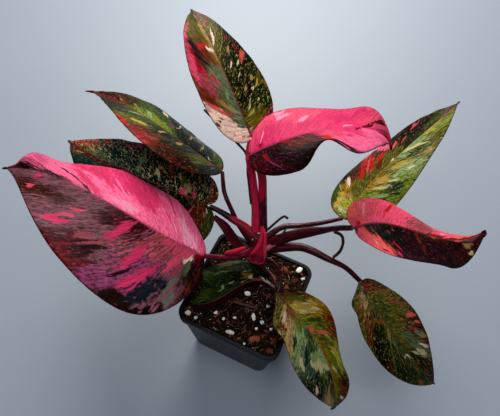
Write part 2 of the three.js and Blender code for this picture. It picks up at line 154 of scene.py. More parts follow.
class Finish:
    """A material in the making. node() adds a node, and surface() joins values to the shader."""

    def __init__(self, name, **shader):
        self.material = bpy.data.materials.new(name)
        self.material.use_nodes = True
        self.tree = self.material.node_tree
        self.shader = self.tree.nodes["Principled BSDF"]
        self.surface(**shader)

    def node(self, kind, settings=None, sockets=None, output=0):
        node = self.tree.nodes.new(kind)
        settings = dict(settings or {})
        stops = settings.pop("stops", None)
        for name, value in settings.items():
            setattr(node, name, value)
        if stops:
            elements = node.color_ramp.elements
            while len(elements) < len(stops):
                elements.new(0.5)
            for element, (place, colour) in zip(elements, stops):
                element.position = place
                element.color = (*colour, 1)
        for key, value in (sockets or {}).items():
            self.plug(node, key, value)
        return Value(self, find_socket(node.outputs, output))

    def plug(self, node, key, value):
        socket = find_socket(node.inputs, key)
        if isinstance(value, Value):
            self.tree.links.new(value.socket, socket)
        elif socket.type == "RGBA":
            socket.default_value = (*value, 1)
        else:
            socket.default_value = value

    def place(self):
        return self.node("ShaderNodeTexCoord", output="Object")

    def attribute(self, name, output="Color"):
        return self.node("ShaderNodeAttribute", {"attribute_name": name}, output=output)

    def split(self, vector):
        separate = self.node("ShaderNodeSeparateXYZ", sockets={0: vector}).socket.node
        return [Value(self, socket) for socket in separate.outputs]

    def stretched(self, vector, across, along, depth=1.0):
        """The vector, measured in grains that are so many units across, along and deep."""
        scale = (1 / across, 1 / along, 1 / depth)
        settings = {"operation": "MULTIPLY"}
        return self.node("ShaderNodeVectorMath", settings, {0: vector, 1: scale})

    def noise(self, vector, size=1.0, detail=2.0, rough=0.5):
        sockets = {"Vector": vector, "Scale": 1 / size, "Detail": detail, "Roughness": rough}
        return self.node("ShaderNodeTexNoise", sockets=sockets)

    def mix(self, first, second, share, blend="MIX"):
        settings = {"data_type": "RGBA", "blend_type": blend}
        sockets = {"A_Color": first, "B_Color": second, "Factor_Float": share}
        return self.node("ShaderNodeMix", settings, sockets, "Result_Color")

    def shaded(self, colour, strength):
        """The colour, darker or lighter by a strength around 1."""
        settings = {"operation": "SCALE"}
        return self.node("ShaderNodeVectorMath", settings, {0: colour, "Scale": strength})

    def relief(self, height, depth):
        """A bump from a height of 0 to 1 that stands for so many metres."""
        return self.node("ShaderNodeBump", sockets={"Height": height, "Distance": depth}, output="Normal")

    def surface(self, **values):
        """Sets the shader's sockets: base_color stands for Base Color, and so on."""
        for name, value in values.items():
            socket = "IOR" if name == "ior" else name.replace("_", " ").title()
            self.plug(self.shader, socket, value)
        return self.material


def settle(piece, *nodes):
    """The piece stands for its CAD nodes, which it hides, and rides with the plant."""
    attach(piece, "root")
    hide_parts(*nodes)


def make_object(name, mesh, *materials):
    for material in materials:
        mesh.materials.append(material)
    piece = bpy.data.objects.new(name, mesh)
    bpy.context.collection.objects.link(piece)
    return piece


def pot_plastic():
    finish = Finish("black_polypropylene", ior=1.22)
    place = finish.place()
    scuffs = finish.noise(finish.stretched(place, 0.6 * MM, 9 * MM, 4 * MM), detail=4, rough=0.7)
    haze = finish.noise(place, 14 * MM, detail=3)
    skin = finish.noise(place, 0.35 * MM, detail=1)
    dust = finish.noise(place, 1.1 * MM, detail=3, rough=0.8).step(0.68, 0.78)
    worn = scuffs.step(0.62, 0.75) * haze.step(0.4, 0.7)
    below_lip = finish.split(place)[2].step(LIP_FOOT * MM, (LIP_FOOT - LIP_HEIGHT) * MM)
    black = finish.mix((0.005, 0.0052, 0.0055), (0.01, 0.01, 0.011), haze)
    black = finish.mix(black, (0.026, 0.022, 0.019), below_lip)
    colour = finish.mix(black, (0.06, 0.062, 0.066), worn * 0.35)
    colour = finish.mix(colour, (0.085, 0.062, 0.045), dust * 0.5)
    return finish.surface(
        base_color=colour,
        roughness=0.36 + haze * 0.14 + worn * 0.2 + dust * 0.3,
        normal=finish.relief(skin * 0.5 + scuffs * 0.5, 0.04 * MM),
    )


def square_ring(half, corner, z, per_corner=10):
    """A square with round corners, level at z."""
    ring = []
    for quarter in range(4):
        middle = math.radians(45 + 90 * quarter)
        cx = math.copysign(half - corner, math.cos(middle))
        cy = math.copysign(half - corner, math.sin(middle))
        for i in range(per_corner):
            angle = math.radians(90 * quarter + 90 * i / (per_corner - 1))
            ring.append((cx + corner * math.cos(angle), cy + corner * math.sin(angle), z))
    return ring


def loft(rings, start=None, end=None):
    """A closed skin over rings of points that have the same count, in millimetres."""
    rings = [np.asarray(ring, float) for ring in rings]
    count = len(rings[0])
    start = rings[0].mean(axis=0) if start is None else start
    end = rings[-1].mean(axis=0) if end is None else end
    points = np.vstack([*rings, [start], [end]]) * MM
    faces = []
    for k in range(len(rings) - 1):
        for i in range(count):
            j = (i + 1) % count
            faces.append((k * count + i, k * count + j, (k + 1) * count + j, (k + 1) * count + i))
    top = (len(rings) - 1) * count
    for i in range(count):
        j = (i + 1) % count
        faces.append((len(points) - 2, j, i))
        faces.append((len(points) - 1, top + i, top + j))
    mesh = bpy.data.meshes.new("loft")
    mesh.from_pydata(points.tolist(), [], faces)
    return mesh


def wall_half(z):
    return np.interp(z, (0, LIP_FOOT), (POT_BASE / 2, WALL_TOP))


def wall_corner(z):
    return np.interp(z, (0, POT_HEIGHT), (CORNER_BASE, CORNER_RIM))


def outer_ring(z, half):
    return square_ring(half, wall_corner(z), z)


def inner_ring(z, clear=0.0):
    return square_ring(wall_half(z) - POT_WALL - clear, wall_corner(z) - POT_WALL - clear, z)


def nursery_pot():
    rings = []
    for turn in np.radians(np.linspace(0, 90, 6)):
        inset = FOOT_ROUND * (1 - math.sin(turn))
        rings.append(outer_ring(FOOT_ROUND * (1 - math.cos(turn)), POT_BASE / 2 - inset))
    for z in (*WALL_RINGS, LIP_FOOT - STEP_ROUND):
        rings.append(outer_ring(z, wall_half(z)))
    rings.append(outer_ring(LIP_FOOT + STEP_ROUND / 2, WALL_TOP + STEP_ROUND))
    rings.append(outer_ring(LIP_FOOT + LIP_SLOPE, POT_RIM / 2 - STEP_ROUND))
    rings.append(outer_ring(LIP_FOOT + LIP_SLOPE + 1.5 * STEP_ROUND, POT_RIM / 2))
    for turn in np.radians(np.linspace(0, 90, 5)):
        half = POT_RIM / 2 - RIM_ROUND * (1 - math.cos(turn))
        rings.append(outer_ring(POT_HEIGHT - RIM_ROUND * (1 - math.sin(turn)), half))
    rings += [inner_ring(POT_HEIGHT, -MOUTH_BEVEL), inner_ring(POT_HEIGHT - MOUTH_BEVEL_DEPTH)]
    rings += [inner_ring(z) for z in (LIP_FOOT, INSIDE_RING, POT_FLOOR)]
    pot = make_object("nursery_pot", loft(rings, (0, 0, 0), (0, 0, POT_FLOOR)), pot_plastic())
    for sx in (1, -1):
        for sy in (1, -1):
            bpy.ops.mesh.primitive_cylinder_add(
                vertices=40, radius=DRAIN_HOLE / 2 * MM, depth=4 * POT_FLOOR * MM,
                location=(sx * DRAIN_INSET * MM, sy * DRAIN_INSET * MM, POT_FLOOR / 2 * MM))
            drill = bpy.context.object
            cut = pot.modifiers.new("drain", "BOOLEAN")
            cut.operation, cut.object = "DIFFERENCE", drill
            apply_modifiers(pot)
            bpy.data.objects.remove(drill)
    pot.data.shade_smooth()
    pot.data.set_sharp_from_angle(angle=math.radians(35))
    return pot


def shown_mesh(piece):
    """What the piece's modifiers show, as a plain mesh."""
    graph = bpy.context.evaluated_depsgraph_get()
    evaluated = piece.evaluated_get(graph)
    return bpy.data.meshes.new_from_object(evaluated, preserve_all_data_layers=True, depsgraph=graph)


def apply_modifiers(piece):
    mesh = shown_mesh(piece)
    piece.modifiers.clear()
    piece.data = mesh


settle(nursery_pot(), "nursery_pot")

# ---- potting mix -------------------------------------------------------------------------------
# Damp peat, coir and bark fines, filled to just under the rim. The loose crumbs, fibres and small
# perlite grains are strewn over the surface and half sunk in it.

SOIL_TOP = 87
SOIL_GAP = 0.3  # between the mix and the pot
SOIL_EDGE = 2  # how far below its top the mix meets the pot
SOIL_LUMPS = 1.1  # height of the lumps
LUMP_WIDTH = 5
SOIL_RINGS = 54
FIBRE_HALF_THICK = 0.022  # of a fibre one unit long


def soil_level(x, y):
    """The mix lies in low waves, as it settles after watering."""
    swell = 0.9 * math.sin(0.21 * x + 1.3) * math.cos(0.17 * y)
    return SOIL_TOP + swell + 0.5 * math.sin(0.43 * y + 0.3 * x)


def lumpy_level(x, y):
    lumps = noise.fractal(Vector((x / LUMP_WIDTH, y / LUMP_WIDTH, 0.5)), 0.7, 2.1, 5)
    return soil_level(x, y) + SOIL_LUMPS * lumps


def soil_finish():
    finish = Finish("damp_potting_mix", ior=1.1)
    place = finish.place()
    fine = finish.noise(place, 0.9 * MM, detail=4, rough=0.7)
    patch = finish.noise(place, 9 * MM, detail=3)
    stops = [(0.3, (0.002, 0.0012, 0.001)), (0.55, (0.008, 0.004, 0.0025)), (0.8, (0.05, 0.018, 0.008))]
    grains = finish.node("ShaderNodeValToRGB", {"stops": stops}, {0: fine})
    colour = finish.mix(grains, (0.035, 0.013, 0.006), patch.step(0.5, 0.7) * 0.5)
    return finish.surface(
        base_color=colour,
        roughness=0.55 + fine * 0.45,
        normal=finish.relief(fine, 0.5 * MM),
    )


def crumb_finish(name, darkest, palest, roughness, grain):
    """Crumbs of one kind. Each has a tone of its own between the darkest and the palest."""
    finish = Finish(name, ior=1.15)
    place = finish.place()
    tone = finish.attribute("tone", "Fac")
    fine = finish.noise(place, grain, detail=3, rough=0.65)
    colour = finish.shaded(finish.mix(darkest, palest, tone), 0.6 + fine * 0.85)
    relief = finish.relief(fine, grain * 0.4)
    return finish.surface(base_color=colour, roughness=roughness + fine * 0.15, normal=relief)


def rough_crumb(name, subdivisions, squash, seed):
    """A small broken lump, one unit across."""
    ball = bmesh.new()
    bmesh.ops.create_icosphere(ball, subdivisions=subdivisions, radius=0.5)
    for vertex in ball.verts:
        knock = noise.noise(vertex.co * 2.3 + Vector((seed, 0, 0)))
        vertex.co *= 1 + 0.6 * knock
        vertex.co.y *= squash
        vertex.co.z *= squash
    mesh = bpy.data.meshes.new(name)
    ball.to_mesh(mesh)
    ball.free()
    return make_object(name, mesh)


def fibre(name, bend):
    """A bent coir fibre, one unit long, with three sides."""
    rings = []
    for k in range(6):
        x = k / 5 - 0.5
        centre = np.array([x, bend * math.sin(3 * x), bend * 0.4 * math.cos(5 * x)]) / MM
        angles = np.radians([0, 120, 240])
        radius = FIBRE_HALF_THICK * (1.1 - abs(x)) / MM
        rings.append([centre + radius * np.array([0, math.cos(a), math.sin(a)]) for a in angles])
    return make_object(name, loft(rings))


class NodeTree:
    """A Geometry Nodes tree with named inputs that joins nodes as Finish.node does."""

    KINDS = {float: "NodeSocketFloat", int: "NodeSocketInt"}

    def __init__(self, name, **defaults):
        self.group = bpy.data.node_groups.new(name, "GeometryNodeTree")
        self.identifiers = {}
        face = self.group.interface
        face.new_socket("Geometry", in_out="INPUT", socket_type="NodeSocketGeometry")
        face.new_socket("Geometry", in_out="OUTPUT", socket_type="NodeSocketGeometry")
        for label, default in defaults.items():
            kind = default if isinstance(default, str) else self.KINDS[type(default)]
            socket = face.new_socket(label, in_out="INPUT", socket_type=kind)
            if not isinstance(default, str):
                socket.default_value = default
            self.identifiers[label] = socket.identifier
        self.source = self.group.nodes.new("NodeGroupInput")
        self.sink = self.group.nodes.new("NodeGroupOutput")

    def given(self, label):
        return self.source.outputs[label]

    def node(self, kind, settings=None, sockets=None, output=0):
        node = self.group.nodes.new(kind)
        for name, value in (settings or {}).items():
            setattr(node, name, value)
        for key, value in (sockets or {}).items():
            socket = find_socket(node.inputs, key)
            if isinstance(value, bpy.types.NodeSocket):
                self.group.links.new(value, socket)
            else:
                socket.default_value = value
        return find_socket(node.outputs, output)

    def maths(self, operation, first, second):
        return self.node("ShaderNodeMath", {"operation": operation}, {0: first, 1: second})

    def random(self, largest, smallest=0.0):
        """A random number, with the given seed."""
        sockets = {"Min_001": smallest, "Max_001": largest, "Seed": self.given("Seed")}
        return self.node("FunctionNodeRandomValue", {"data_type": "FLOAT"}, sockets, 1)

    def stored(self, geometry, name, value, kind="FLOAT", domain="POINT"):
        """The geometry with the value kept on it under this name."""
        settings = {"domain": domain, "data_type": kind}
        sockets = {"Geometry": geometry, "Name": name, "Value": value}
        return self.node("GeometryNodeStoreNamedAttribute", settings, sockets)

    def recalled(self, name, kind="FLOAT"):
        return self.node("GeometryNodeInputNamedAttribute", {"data_type": kind}, {"Name": name})

    def finish(self, geometry):
        """Ends the tree in real geometry with the given material."""
        real = self.node("GeometryNodeRealizeInstances", sockets={0: geometry})
        painted = self.node("GeometryNodeSetMaterial", sockets={0: real, "Material": self.given("Finish")})
        self.group.links.new(painted, self.sink.inputs[0])

    def grow(self, source, name, **values):
        """Runs the tree on an object and returns the result as a plain mesh object."""
        modifier = source.modifiers.new("grow", "NODES")
        modifier.node_group = self.group
        for label, value in values.items():
            modifier[self.identifiers[label]] = value
        source.update_tag()
        piece = bpy.data.objects.new(name, shown_mesh(source))
        bpy.context.collection.objects.link(piece)
        source.modifiers.remove(modifier)
        return piece


def strewing_tree():
    """Copies of a crumb, strewn over a surface at random and sunk a little into it."""
    tree = NodeTree(
        "strewn_crumbs", Crumb="NodeSocketObject", Finish="NodeSocketMaterial", Density=1000.0,
        Smallest=0.001, Largest=0.002, Tilt=3.0, Seed=1,
    )
    points = tree.node("GeometryNodeDistributePointsOnFaces", sockets={
        "Mesh": tree.given("Geometry"), "Density": tree.given("Density"), "Seed": tree.given("Seed")})
    lean = tree.node("ShaderNodeCombineXYZ", sockets={
        0: tree.given("Tilt"), 1: tree.given("Tilt"), 2: math.tau})
    turn = tree.node("FunctionNodeRandomValue", {"data_type": "FLOAT_VECTOR"}, {
        "Max": lean, "Seed": tree.given("Seed")})
    size = tree.random(tree.given("Largest"), tree.given("Smallest"))
    crumb = tree.node("GeometryNodeObjectInfo", sockets={"Object": tree.given("Crumb")}, output="Geometry")
    rotation = tree.node("FunctionNodeEulerToRotation", sockets={0: turn})
    placed = tree.node("GeometryNodeInstanceOnPoints", sockets={
        "Points": points, "Instance": crumb, "Rotation": rotation, "Scale": size})
    tree.finish(tree.stored(placed, "tone", tree.random(1.0), domain="INSTANCE"))
    return tree


def open_surface(block):
    """The upper face of the mix alone, for the crumbs to lie on."""
    surface = make_object("soil_surface", block.copy())
    top = bmesh.new()
    top.from_mesh(surface.data)
    low = [face for face in top.faces if face.calc_center_median().z < (SOIL_TOP - SOIL_EDGE - 1) * MM]
    bmesh.ops.delete(top, geom=low, context="FACES")
    top.to_mesh(surface.data)
    top.free()
    return surface


def strewn_layers(surface):
    """Peat lumps, bark fines, coir fibres and perlite grains over the surface."""
    tree = strewing_tree()
    lump = rough_crumb("lump", 2, 0.75, 1)
    flake = rough_crumb("flake", 2, 0.45, 5)
    grain = rough_crumb("grain", 1, 0.9, 9)
    hair = fibre("hair", 0.14)
    peat = crumb_finish("peat_crumbs", (0.002, 0.0012, 0.001), (0.03, 0.012, 0.006), 0.7, 0.5 * MM)
    fines = crumb_finish("bark_fines", (0.016, 0.005, 0.003), (0.27, 0.065, 0.022), 0.75, 0.4 * MM)
    coir = crumb_finish("coir_fibres", (0.045, 0.016, 0.008), (0.34, 0.2, 0.11), 0.6, 0.3 * MM)
    white = crumb_finish("perlite_grains", (0.6, 0.5, 0.4), (1.0, 0.93, 0.82), 0.8, 0.3 * MM)
    # Crumb, finish, how many to a square metre, smallest and largest size, tilt and seed.
    layers = [
        (lump, peat, 190000, 1.0, 3.0, 6.0, 3),
        (flake, fines, 24000, 1.2, 4.6, 6.0, 11),
        (hair, coir, 45000, 3.0, 9.0, 0.5, 23),
        (grain, white, 15000, 0.5, 1.3, 6.0, 31),
    ]
    strewn = [
        tree.grow(surface, f"layer_{seed}", Crumb=crumb, Finish=material, Density=float(density),
                  Smallest=small * MM, Largest=large * MM, Tilt=tilt, Seed=seed)
        for crumb, material, density, small, large, tilt, seed in layers
    ]
    for spare in (surface, lump, flake, grain, hair):
        bpy.data.objects.remove(spare)
    return strewn


def potting_mix():
    edge = inner_ring(SOIL_TOP - SOIL_EDGE, SOIL_GAP)
    rings = [inner_ring(z, SOIL_GAP) for z in (POT_FLOOR + SOIL_GAP, INSIDE_RING, LIP_FOOT)]
    rings.append(edge)
    for share in np.linspace(0.985, 0.015, SOIL_RINGS):
        ring = [(x * share, y * share) for x, y, z in edge]
        rings.append([(x, y, lumpy_level(x, y)) for x, y in ring])
    block = loft(rings, end=(0, 0, lumpy_level(0, 0)))
    mix = make_object("potting_mix", block, soil_finish())
    strewn = strewn_layers(open_surface(block))
    with bpy.context.temp_override(active_object=mix, selected_editable_objects=[mix, *strewn]):
        bpy.ops.object.join()
    return mix


settle(potting_mix(), "potting_mix")

# ---- perlite, bark chips and twig --------------------------------------------------------------
# Puffed white perlite crumbs, chips of orange to dark red pine bark and one brown twig lie on the
# mix, some of them half sunk. Each is broken up finely from its plain lump.

PERLITE_COUNT = 19
TAN_CRUMB = 9
BARK_TONES = (0.95, 0.25, 0.35, 0.3, 0.15, 0.55)
LUMP_SIZE = 1.7
PIT_SIZE = 0.55
PIT_LEVEL = 0.15  # less of this leaves more pits
FILLING_OUT = 0.12  # makes up for the bulk that the rounding takes away


def write_attribute(mesh, name, kind, field, values):
    attribute = mesh.attributes.new(name, kind, "POINT")
    attribute.data.foreach_set(field, np.ascontiguousarray(values, np.float32).ravel())


def broken_up(node, finish, lumps, pits, tone):
    """A finely broken copy of a plain CAD lump: lumps and pits are heights in millimetres."""
    bits = bmesh.new()
    bits.from_mesh(frame["nodes"][node].data)
    bmesh.ops.remove_doubles(bits, verts=bits.verts, dist=0.01 * MM)
    mesh = bpy.data.meshes.new(node)
    bits.to_mesh(mesh)
    bits.free()
    mesh.materials.clear()
    piece = make_object(node, mesh, finish)
    piece.modifiers.new("fine", "SUBSURF").levels = 3
    piece.modifiers["fine"].render_levels = 3
    apply_modifiers(piece)
    middle = sum((vertex.co for vertex in piece.data.vertices), Vector()) / len(piece.data.vertices)
    for vertex, normal in zip(piece.data.vertices, [n.vector.copy() for n in piece.data.vertex_normals]):
        spot = vertex.co / MM
        coarse = noise.fractal(spot / LUMP_SIZE, 0.6, 2.2, 3)
        holes = max(0.0, noise.noise(spot / PIT_SIZE) - PIT_LEVEL)
        vertex.co += (vertex.co - middle) * FILLING_OUT + normal * (lumps * coarse - pits * holes) * MM
    write_attribute(piece.data, "tone", "FLOAT", "value", [tone] * len(piece.data.vertices))
    piece.data.shade_smooth()
    settle(piece, node)


perlite_finish = crumb_finish("puffed_perlite", (0.55, 0.4, 0.2), (1.0, 0.94, 0.83), 0.8, 0.5 * MM)
bark_finish = crumb_finish("pine_bark", (0.045, 0.012, 0.008), (0.32, 0.085, 0.03), 0.75, 0.8 * MM)
twig_finish = crumb_finish("dry_twig", (0.05, 0.02, 0.012), (0.16, 0.08, 0.045), 0.8, 0.4 * MM)
for i in range(PERLITE_COUNT):
    broken_up(f"perlite_{i + 1}", perlite_finish, 0.45, 0.7, 0.5 if i == TAN_CRUMB else 1.0)
for i, tone in enumerate(BARK_TONES):
    broken_up(f"bark_chip_{i + 1}", bark_finish, 0.7, 0.4, tone)
broken_up("twig", twig_finish, 0.25, 0.1, 0.5)

# ---- stem --------------------------------------------------------------------------------------
# The short stem is rooted in the mix. It is thick, waxy and dark red, with faint lengthwise ridges
# and a ring at each leaf scar. Stem, petioles and roots are grown along their paths by one tree.

SAMPLES = 160
RIDGE_LENGTH = 20  # how far along a stalk its ridges hold their shape


def smooth_path(points, count=SAMPLES):
    """Points evenly spaced along a centripetal Catmull-Rom curve, in millimetres."""
    points = np.asarray(points, float)
    points = np.vstack([2 * points[0] - points[1], points, 2 * points[-1] - points[-2]])
    dense = []
    for k in range(1, len(points) - 2):
        p0, p1, p2, p3 = points[k - 1:k + 3]
        d0, d1, d2 = (math.sqrt(np.linalg.norm(b - a)) for a, b in ((p0, p1), (p1, p2), (p2, p3)))
        m1 = ((p1 - p0) / d0 - (p2 - p0) / (d0 + d1) + (p2 - p1) / d1) * d1
        m2 = ((p2 - p1) / d1 - (p3 - p1) / (d1 + d2) + (p3 - p2) / d2) * d1
        t = np.linspace(0, 1, 60)[:, None]
        start = (2 * t**3 - 3 * t**2 + 1) * p1 + (t**3 - 2 * t**2 + t) * m1
        dense.append(start + (3 * t**2 - 2 * t**3) * p2 + (t**3 - t**2) * m2)
    dense = np.vstack(dense)
    run = np.concatenate([[0], np.cumsum(np.linalg.norm(np.diff(dense, axis=0), axis=1))])
    even = np.linspace(0, run[-1], count)
    return np.column_stack([np.interp(even, run, dense[:, axis]) for axis in range(3)])


def spread(values, count=SAMPLES):
    """The values, evenly spaced, read off at count places, with smooth turns between them."""
    place = np.linspace(0, len(values) - 1, count)
    fine = np.interp(place, range(len(values)), values)
    reach = max(1, count // (3 * len(values)))
    padded = np.concatenate([np.full(reach, fine[0]), fine, np.full(reach, fine[-1])])
    return np.convolve(padded, np.full(2 * reach + 1, 1 / (2 * reach + 1)), "valid")


def stalk_tree():
    """A round stalk along a curve, with ridges along it. "skin" holds the direction round the
    stalk in x and y and the millimetres along it in z."""
    tree = NodeTree(
        "grown_stalk", Finish="NodeSocketMaterial", Step=0.0007, Sides=24, Ridges=4.0,
        Ridge_depth=0.0002, Seed=0.0,
    )
    path = tree.node("GeometryNodeResampleCurve", {"mode": "LENGTH"}, {
        "Curve": tree.given("Geometry"), "Length": tree.given("Step")})
    length = tree.node("GeometryNodeSplineParameter", output="Length")
    marked = tree.stored(path, "length", length)
    circle = tree.node("GeometryNodeCurvePrimitiveCircle", sockets={
        "Resolution": tree.given("Sides"), "Radius": 1.0})
    spoke = tree.node("GeometryNodeInputPosition")
    profile = tree.stored(circle, "round", spoke, "FLOAT_VECTOR")
    radius = tree.node("GeometryNodeInputRadius")
    tube = tree.node("GeometryNodeCurveToMesh", sockets={
        "Curve": marked, "Profile Curve": profile, "Scale": radius, "Fill Caps": True})
    around = tree.recalled("round", "FLOAT_VECTOR")
    along = tree.maths("MULTIPLY", tree.recalled("length"), 1 / MM)
    split = tree.node("ShaderNodeSeparateXYZ", sockets={0: around}).node
    skin = tree.node("ShaderNodeCombineXYZ", sockets={
        0: split.outputs[0], 1: split.outputs[1], 2: along})
    skinned = tree.stored(tube, "skin", skin, "FLOAT_VECTOR")
    shift = tree.maths("ADD", tree.maths("MULTIPLY", along, 1 / RIDGE_LENGTH), tree.given("Seed"))
    ring = tree.node("ShaderNodeVectorMath", {"operation": "SCALE"}, {
        0: around, "Scale": tree.given("Ridges")})
    spot = tree.node("ShaderNodeCombineXYZ", sockets={2: shift})
    spot = tree.node("ShaderNodeVectorMath", {"operation": "ADD"}, {0: ring, 1: spot})
    swell = tree.node("ShaderNodeTexNoise", sockets={"Vector": spot, "Scale": 1.0, "Detail": 1.0})
    push = tree.maths("MULTIPLY", tree.maths("SUBTRACT", swell, 0.5), tree.given("Ridge_depth"))
    normal = tree.node("GeometryNodeInputNormal")
    offset = tree.node("ShaderNodeVectorMath", {"operation": "SCALE"}, {0: normal, "Scale": push})
    ridged = tree.node("GeometryNodeSetPosition", sockets={"Geometry": skinned, "Offset": offset})
    tree.finish(ridged)
    return tree


grown_stalk = stalk_tree()


def stalk(node, path, radii, finish, ridge=0.2, sides=24, step=0.7, rings=()):
    """Grows one stalk. Each of its rings, a swollen joint, is (share of length, swelling, reach)."""
    centre = smooth_path(path)
    radius = spread(radii)
    share = np.linspace(0, 1, SAMPLES)
    for place, swelling, reach in rings:
        radius = radius + swelling * np.exp(-(((share - place) / reach) ** 2))
    curve = bpy.data.curves.new(node, "CURVE")
    curve.dimensions = "3D"
    spline = curve.splines.new("POLY")
    spline.points.add(SAMPLES - 1)
    spline.points.foreach_set("co", np.column_stack([centre * MM, np.ones(SAMPLES)]).ravel())
    spline.points.foreach_set("radius", radius * MM)
    guide = bpy.data.objects.new("guide", curve)
    bpy.context.collection.objects.link(guide)
    piece = grown_stalk.grow(
        guide, node, Finish=finish, Step=step * MM, Sides=sides, Ridge_depth=ridge * MM,
        Seed=float(len(bpy.data.objects)))
    bpy.data.objects.remove(guide)
    piece.data.shade_smooth()
    return piece


NIGHT_RED = (0.012, 0.0015, 0.003)
MAROON_SKIN = (0.04, 0.003, 0.007)
WINE = (0.15, 0.005, 0.018)
SCARLET = (0.55, 0.006, 0.035)
PALE_SKIN = (0.55, 0.12, 0.16)


def skin_finish(name, dark, bright, pale, shine, redness=0.5, turn=None):
    """Waxy stalk skin with dark and bright streaks along it and small pale dots, and painted light: it is
    brighter red on its upper side, as if lit from above.
    turn gives the places along it, in millimetres, between which it turns from dark to bright."""
    finish = Finish(name, ior=1.28)
    skin = finish.attribute("skin", "Vector")
    long_streak = finish.noise(finish.stretched(skin, 0.5, 0.5, 26), detail=3, rough=0.6)
    fine_streak = finish.noise(finish.stretched(skin, 0.16, 0.16, 7), detail=2)
    dots = finish.noise(finish.stretched(skin, 0.12, 0.12, 0.9), detail=1).step(0.7, 0.78)
    blotch = finish.noise(finish.place(), 5 * MM, detail=3)
    normal = finish.node("ShaderNodeNewGeometry", output="Normal")
    painted_top_light = finish.split(normal)[2]
    # Painted light: the upward-facing side of each stalk is made brighter red, as if lit from above.
    share = long_streak * 1.2 + blotch * 0.7 + fine_streak * 0.4 + painted_top_light * 0.3 + (redness - 1.65)
    if turn:
        share = share + finish.split(skin)[2].step(*turn) - 0.6
    colour = finish.mix(dark, bright, share.step(-0.25, 0.45))
    colour = finish.mix(colour, pale, dots * 0.5 + fine_streak.step(0.64, 0.78) * 0.25)
    # Painted shade: the inside of the open slipper sheath is darkened towards its toe.
    colour = finish.mix(colour, NIGHT_RED, finish.attribute("hollow_shade", "Fac") * 0.8)
    return finish.surface(
        base_color=colour,
        roughness=shine + blotch * 0.15,
        normal=finish.relief(fine_streak * 0.6 + dots * 0.4, 0.15 * MM),
    )


stem_finish = skin_finish("stem_skin", MAROON_SKIN, WINE, PALE_SKIN, 0.38)
STEM = ((1, 25, 72), (1, 24, 90), (-2, 27, 110), (-6, 30, 134))
settle(
    stalk("stem", STEM, (4.5, 5, 5.5, 6.5, 6, 3), stem_finish, ridge=1.6, sides=40,
          rings=((0.42, 0.5, 0.02), (0.62, 0.6, 0.02), (0.8, 0.5, 0.02))),
    "stem")

# ---- petioles ----------------------------------------------------------------------------------
# Each leaf stalk clasps the stem with a broad grooved base, narrows and turns up into its blade.
# The skin is glossy, from nearly black maroon to bright crimson on the youngest ones.

red_skin = skin_finish("crimson_petiole", WINE, (0.62, 0.01, 0.055), (0.85, 0.2, 0.26), 0.2, 0.75)
half_red_skin = skin_finish(
    "half_crimson_petiole", MAROON_SKIN, SCARLET, (0.8, 0.15, 0.2), 0.2, 0.6, turn=(20, 44))
sheathed_skin = skin_finish(
    "sheathed_petiole", NIGHT_RED, (0.24, 0.005, 0.018), PALE_SKIN, 0.22, 0.5, turn=(29, 22))
wine_skin = skin_finish("wine_petiole", NIGHT_RED, (0.22, 0.005, 0.026), PALE_SKIN, 0.2, 0.5)
dark_skin = skin_finish("dark_petiole", NIGHT_RED, (0.065, 0.002, 0.006), PALE_SKIN, 0.2, 0.4)

PETIOLES = {
    "front_left": dict(
        path=((-5, 27, 118), (-13, 13, 125), (-22, -1, 139), (-32.6, -10.4, 150.6)),
        radii=(3.5, 2.4, 2, 1.8), skin=wine_skin),
    "middle_left": dict(
        path=((-10, 34, 125), (-21, 36, 129), (-32, 36, 133), (-44, 36, 137), (-52, 36, 138)),
        radii=(4, 3.6, 3, 2.4, 2), skin=sheathed_skin),
    "upper_left": dict(
        path=((-8, 30, 112), (-25, 36, 126), (-36, 42, 138), (-45, 49, 145), (-51, 58, 147.5),
              (-55, 65, 147.5)),
        radii=(2.4, 2, 1.9, 1.8, 1.7), skin=dark_skin),
    "top": dict(
        path=((-10, 36, 130), (-17, 48, 148), (-27, 61, 166), (-33, 67, 181), (-36, 76, 188)),
        radii=(4, 3.6, 3.3, 3, 2.4), skin=red_skin),
    "upper_right": dict(
        path=((-5, 38, 130), (-13, 52, 152), (-19, 61, 171), (-25, 60, 188), (-29, 57, 194)),
        radii=(4, 3.6, 3.4, 3.1, 2.4), skin=half_red_skin),
    "right": dict(
        path=((-2, 34, 126), (8, 50, 128), (20, 57, 128), (33, 67, 126), (50, 82, 124)),
        radii=(3, 2.4, 2, 1.8, 1.7), skin=dark_skin),
    "right_front": dict(
        path=((-2, 32, 120), (24, 45, 138), (39, 49, 149), (50, 50, 160), (59, 51, 166)),
        radii=(4, 4.4, 4.2, 2.2, 2), skin=dark_skin),
    "lower_right": dict(
        path=((-2, 30, 114), (27, 41, 124), (38, 41, 126), (53, 40, 126), (67, 41, 122), (83, 38, 115)),
        radii=(4, 3.8, 3, 2.2, 2), skin=dark_skin),
    "bottom": dict(
        path=((1, 28, 104), (13, 24, 111), (21, 16, 114), (24, 9, 112), (25, 3, 110)),
        radii=(2, 1.5, 1.3, 1.3), skin=dark_skin),
    "low_left": dict(
        path=((1, 26, 95), (13, 20, 97), (19, 14, 99), (21.5, 9, 100.5)),
        radii=(2, 1.5, 1.3), skin=dark_skin),
}
for place, petiole in PETIOLES.items():
    node = f"petiole_{place}"
    settle(stalk(node, petiole["path"], petiole["radii"], petiole["skin"], ridge=0.9), node)

# ---- sheaths -----------------------------------------------------------------------------------
# Thin hoods and wings that are left where a leaf came out. The red one in front of the crown is
# still fresh and open like a slipper. The others are papery: one dark, one red, one pale and torn.

hood_finish = skin_finish(
    "fresh_sheath", (0.24, 0.003, 0.012), (0.8, 0.012, 0.05), (0.95, 0.3, 0.36), 0.22, 0.75)
old_finish = skin_finish("old_sheath", NIGHT_RED, (0.08, 0.003, 0.008), PALE_SKIN, 0.26, 0.42)
torn_finish = skin_finish(
    "torn_sheath", (0.3, 0.03, 0.06), (0.65, 0.16, 0.22), (0.85, 0.65, 0.62), 0.4, 0.6)


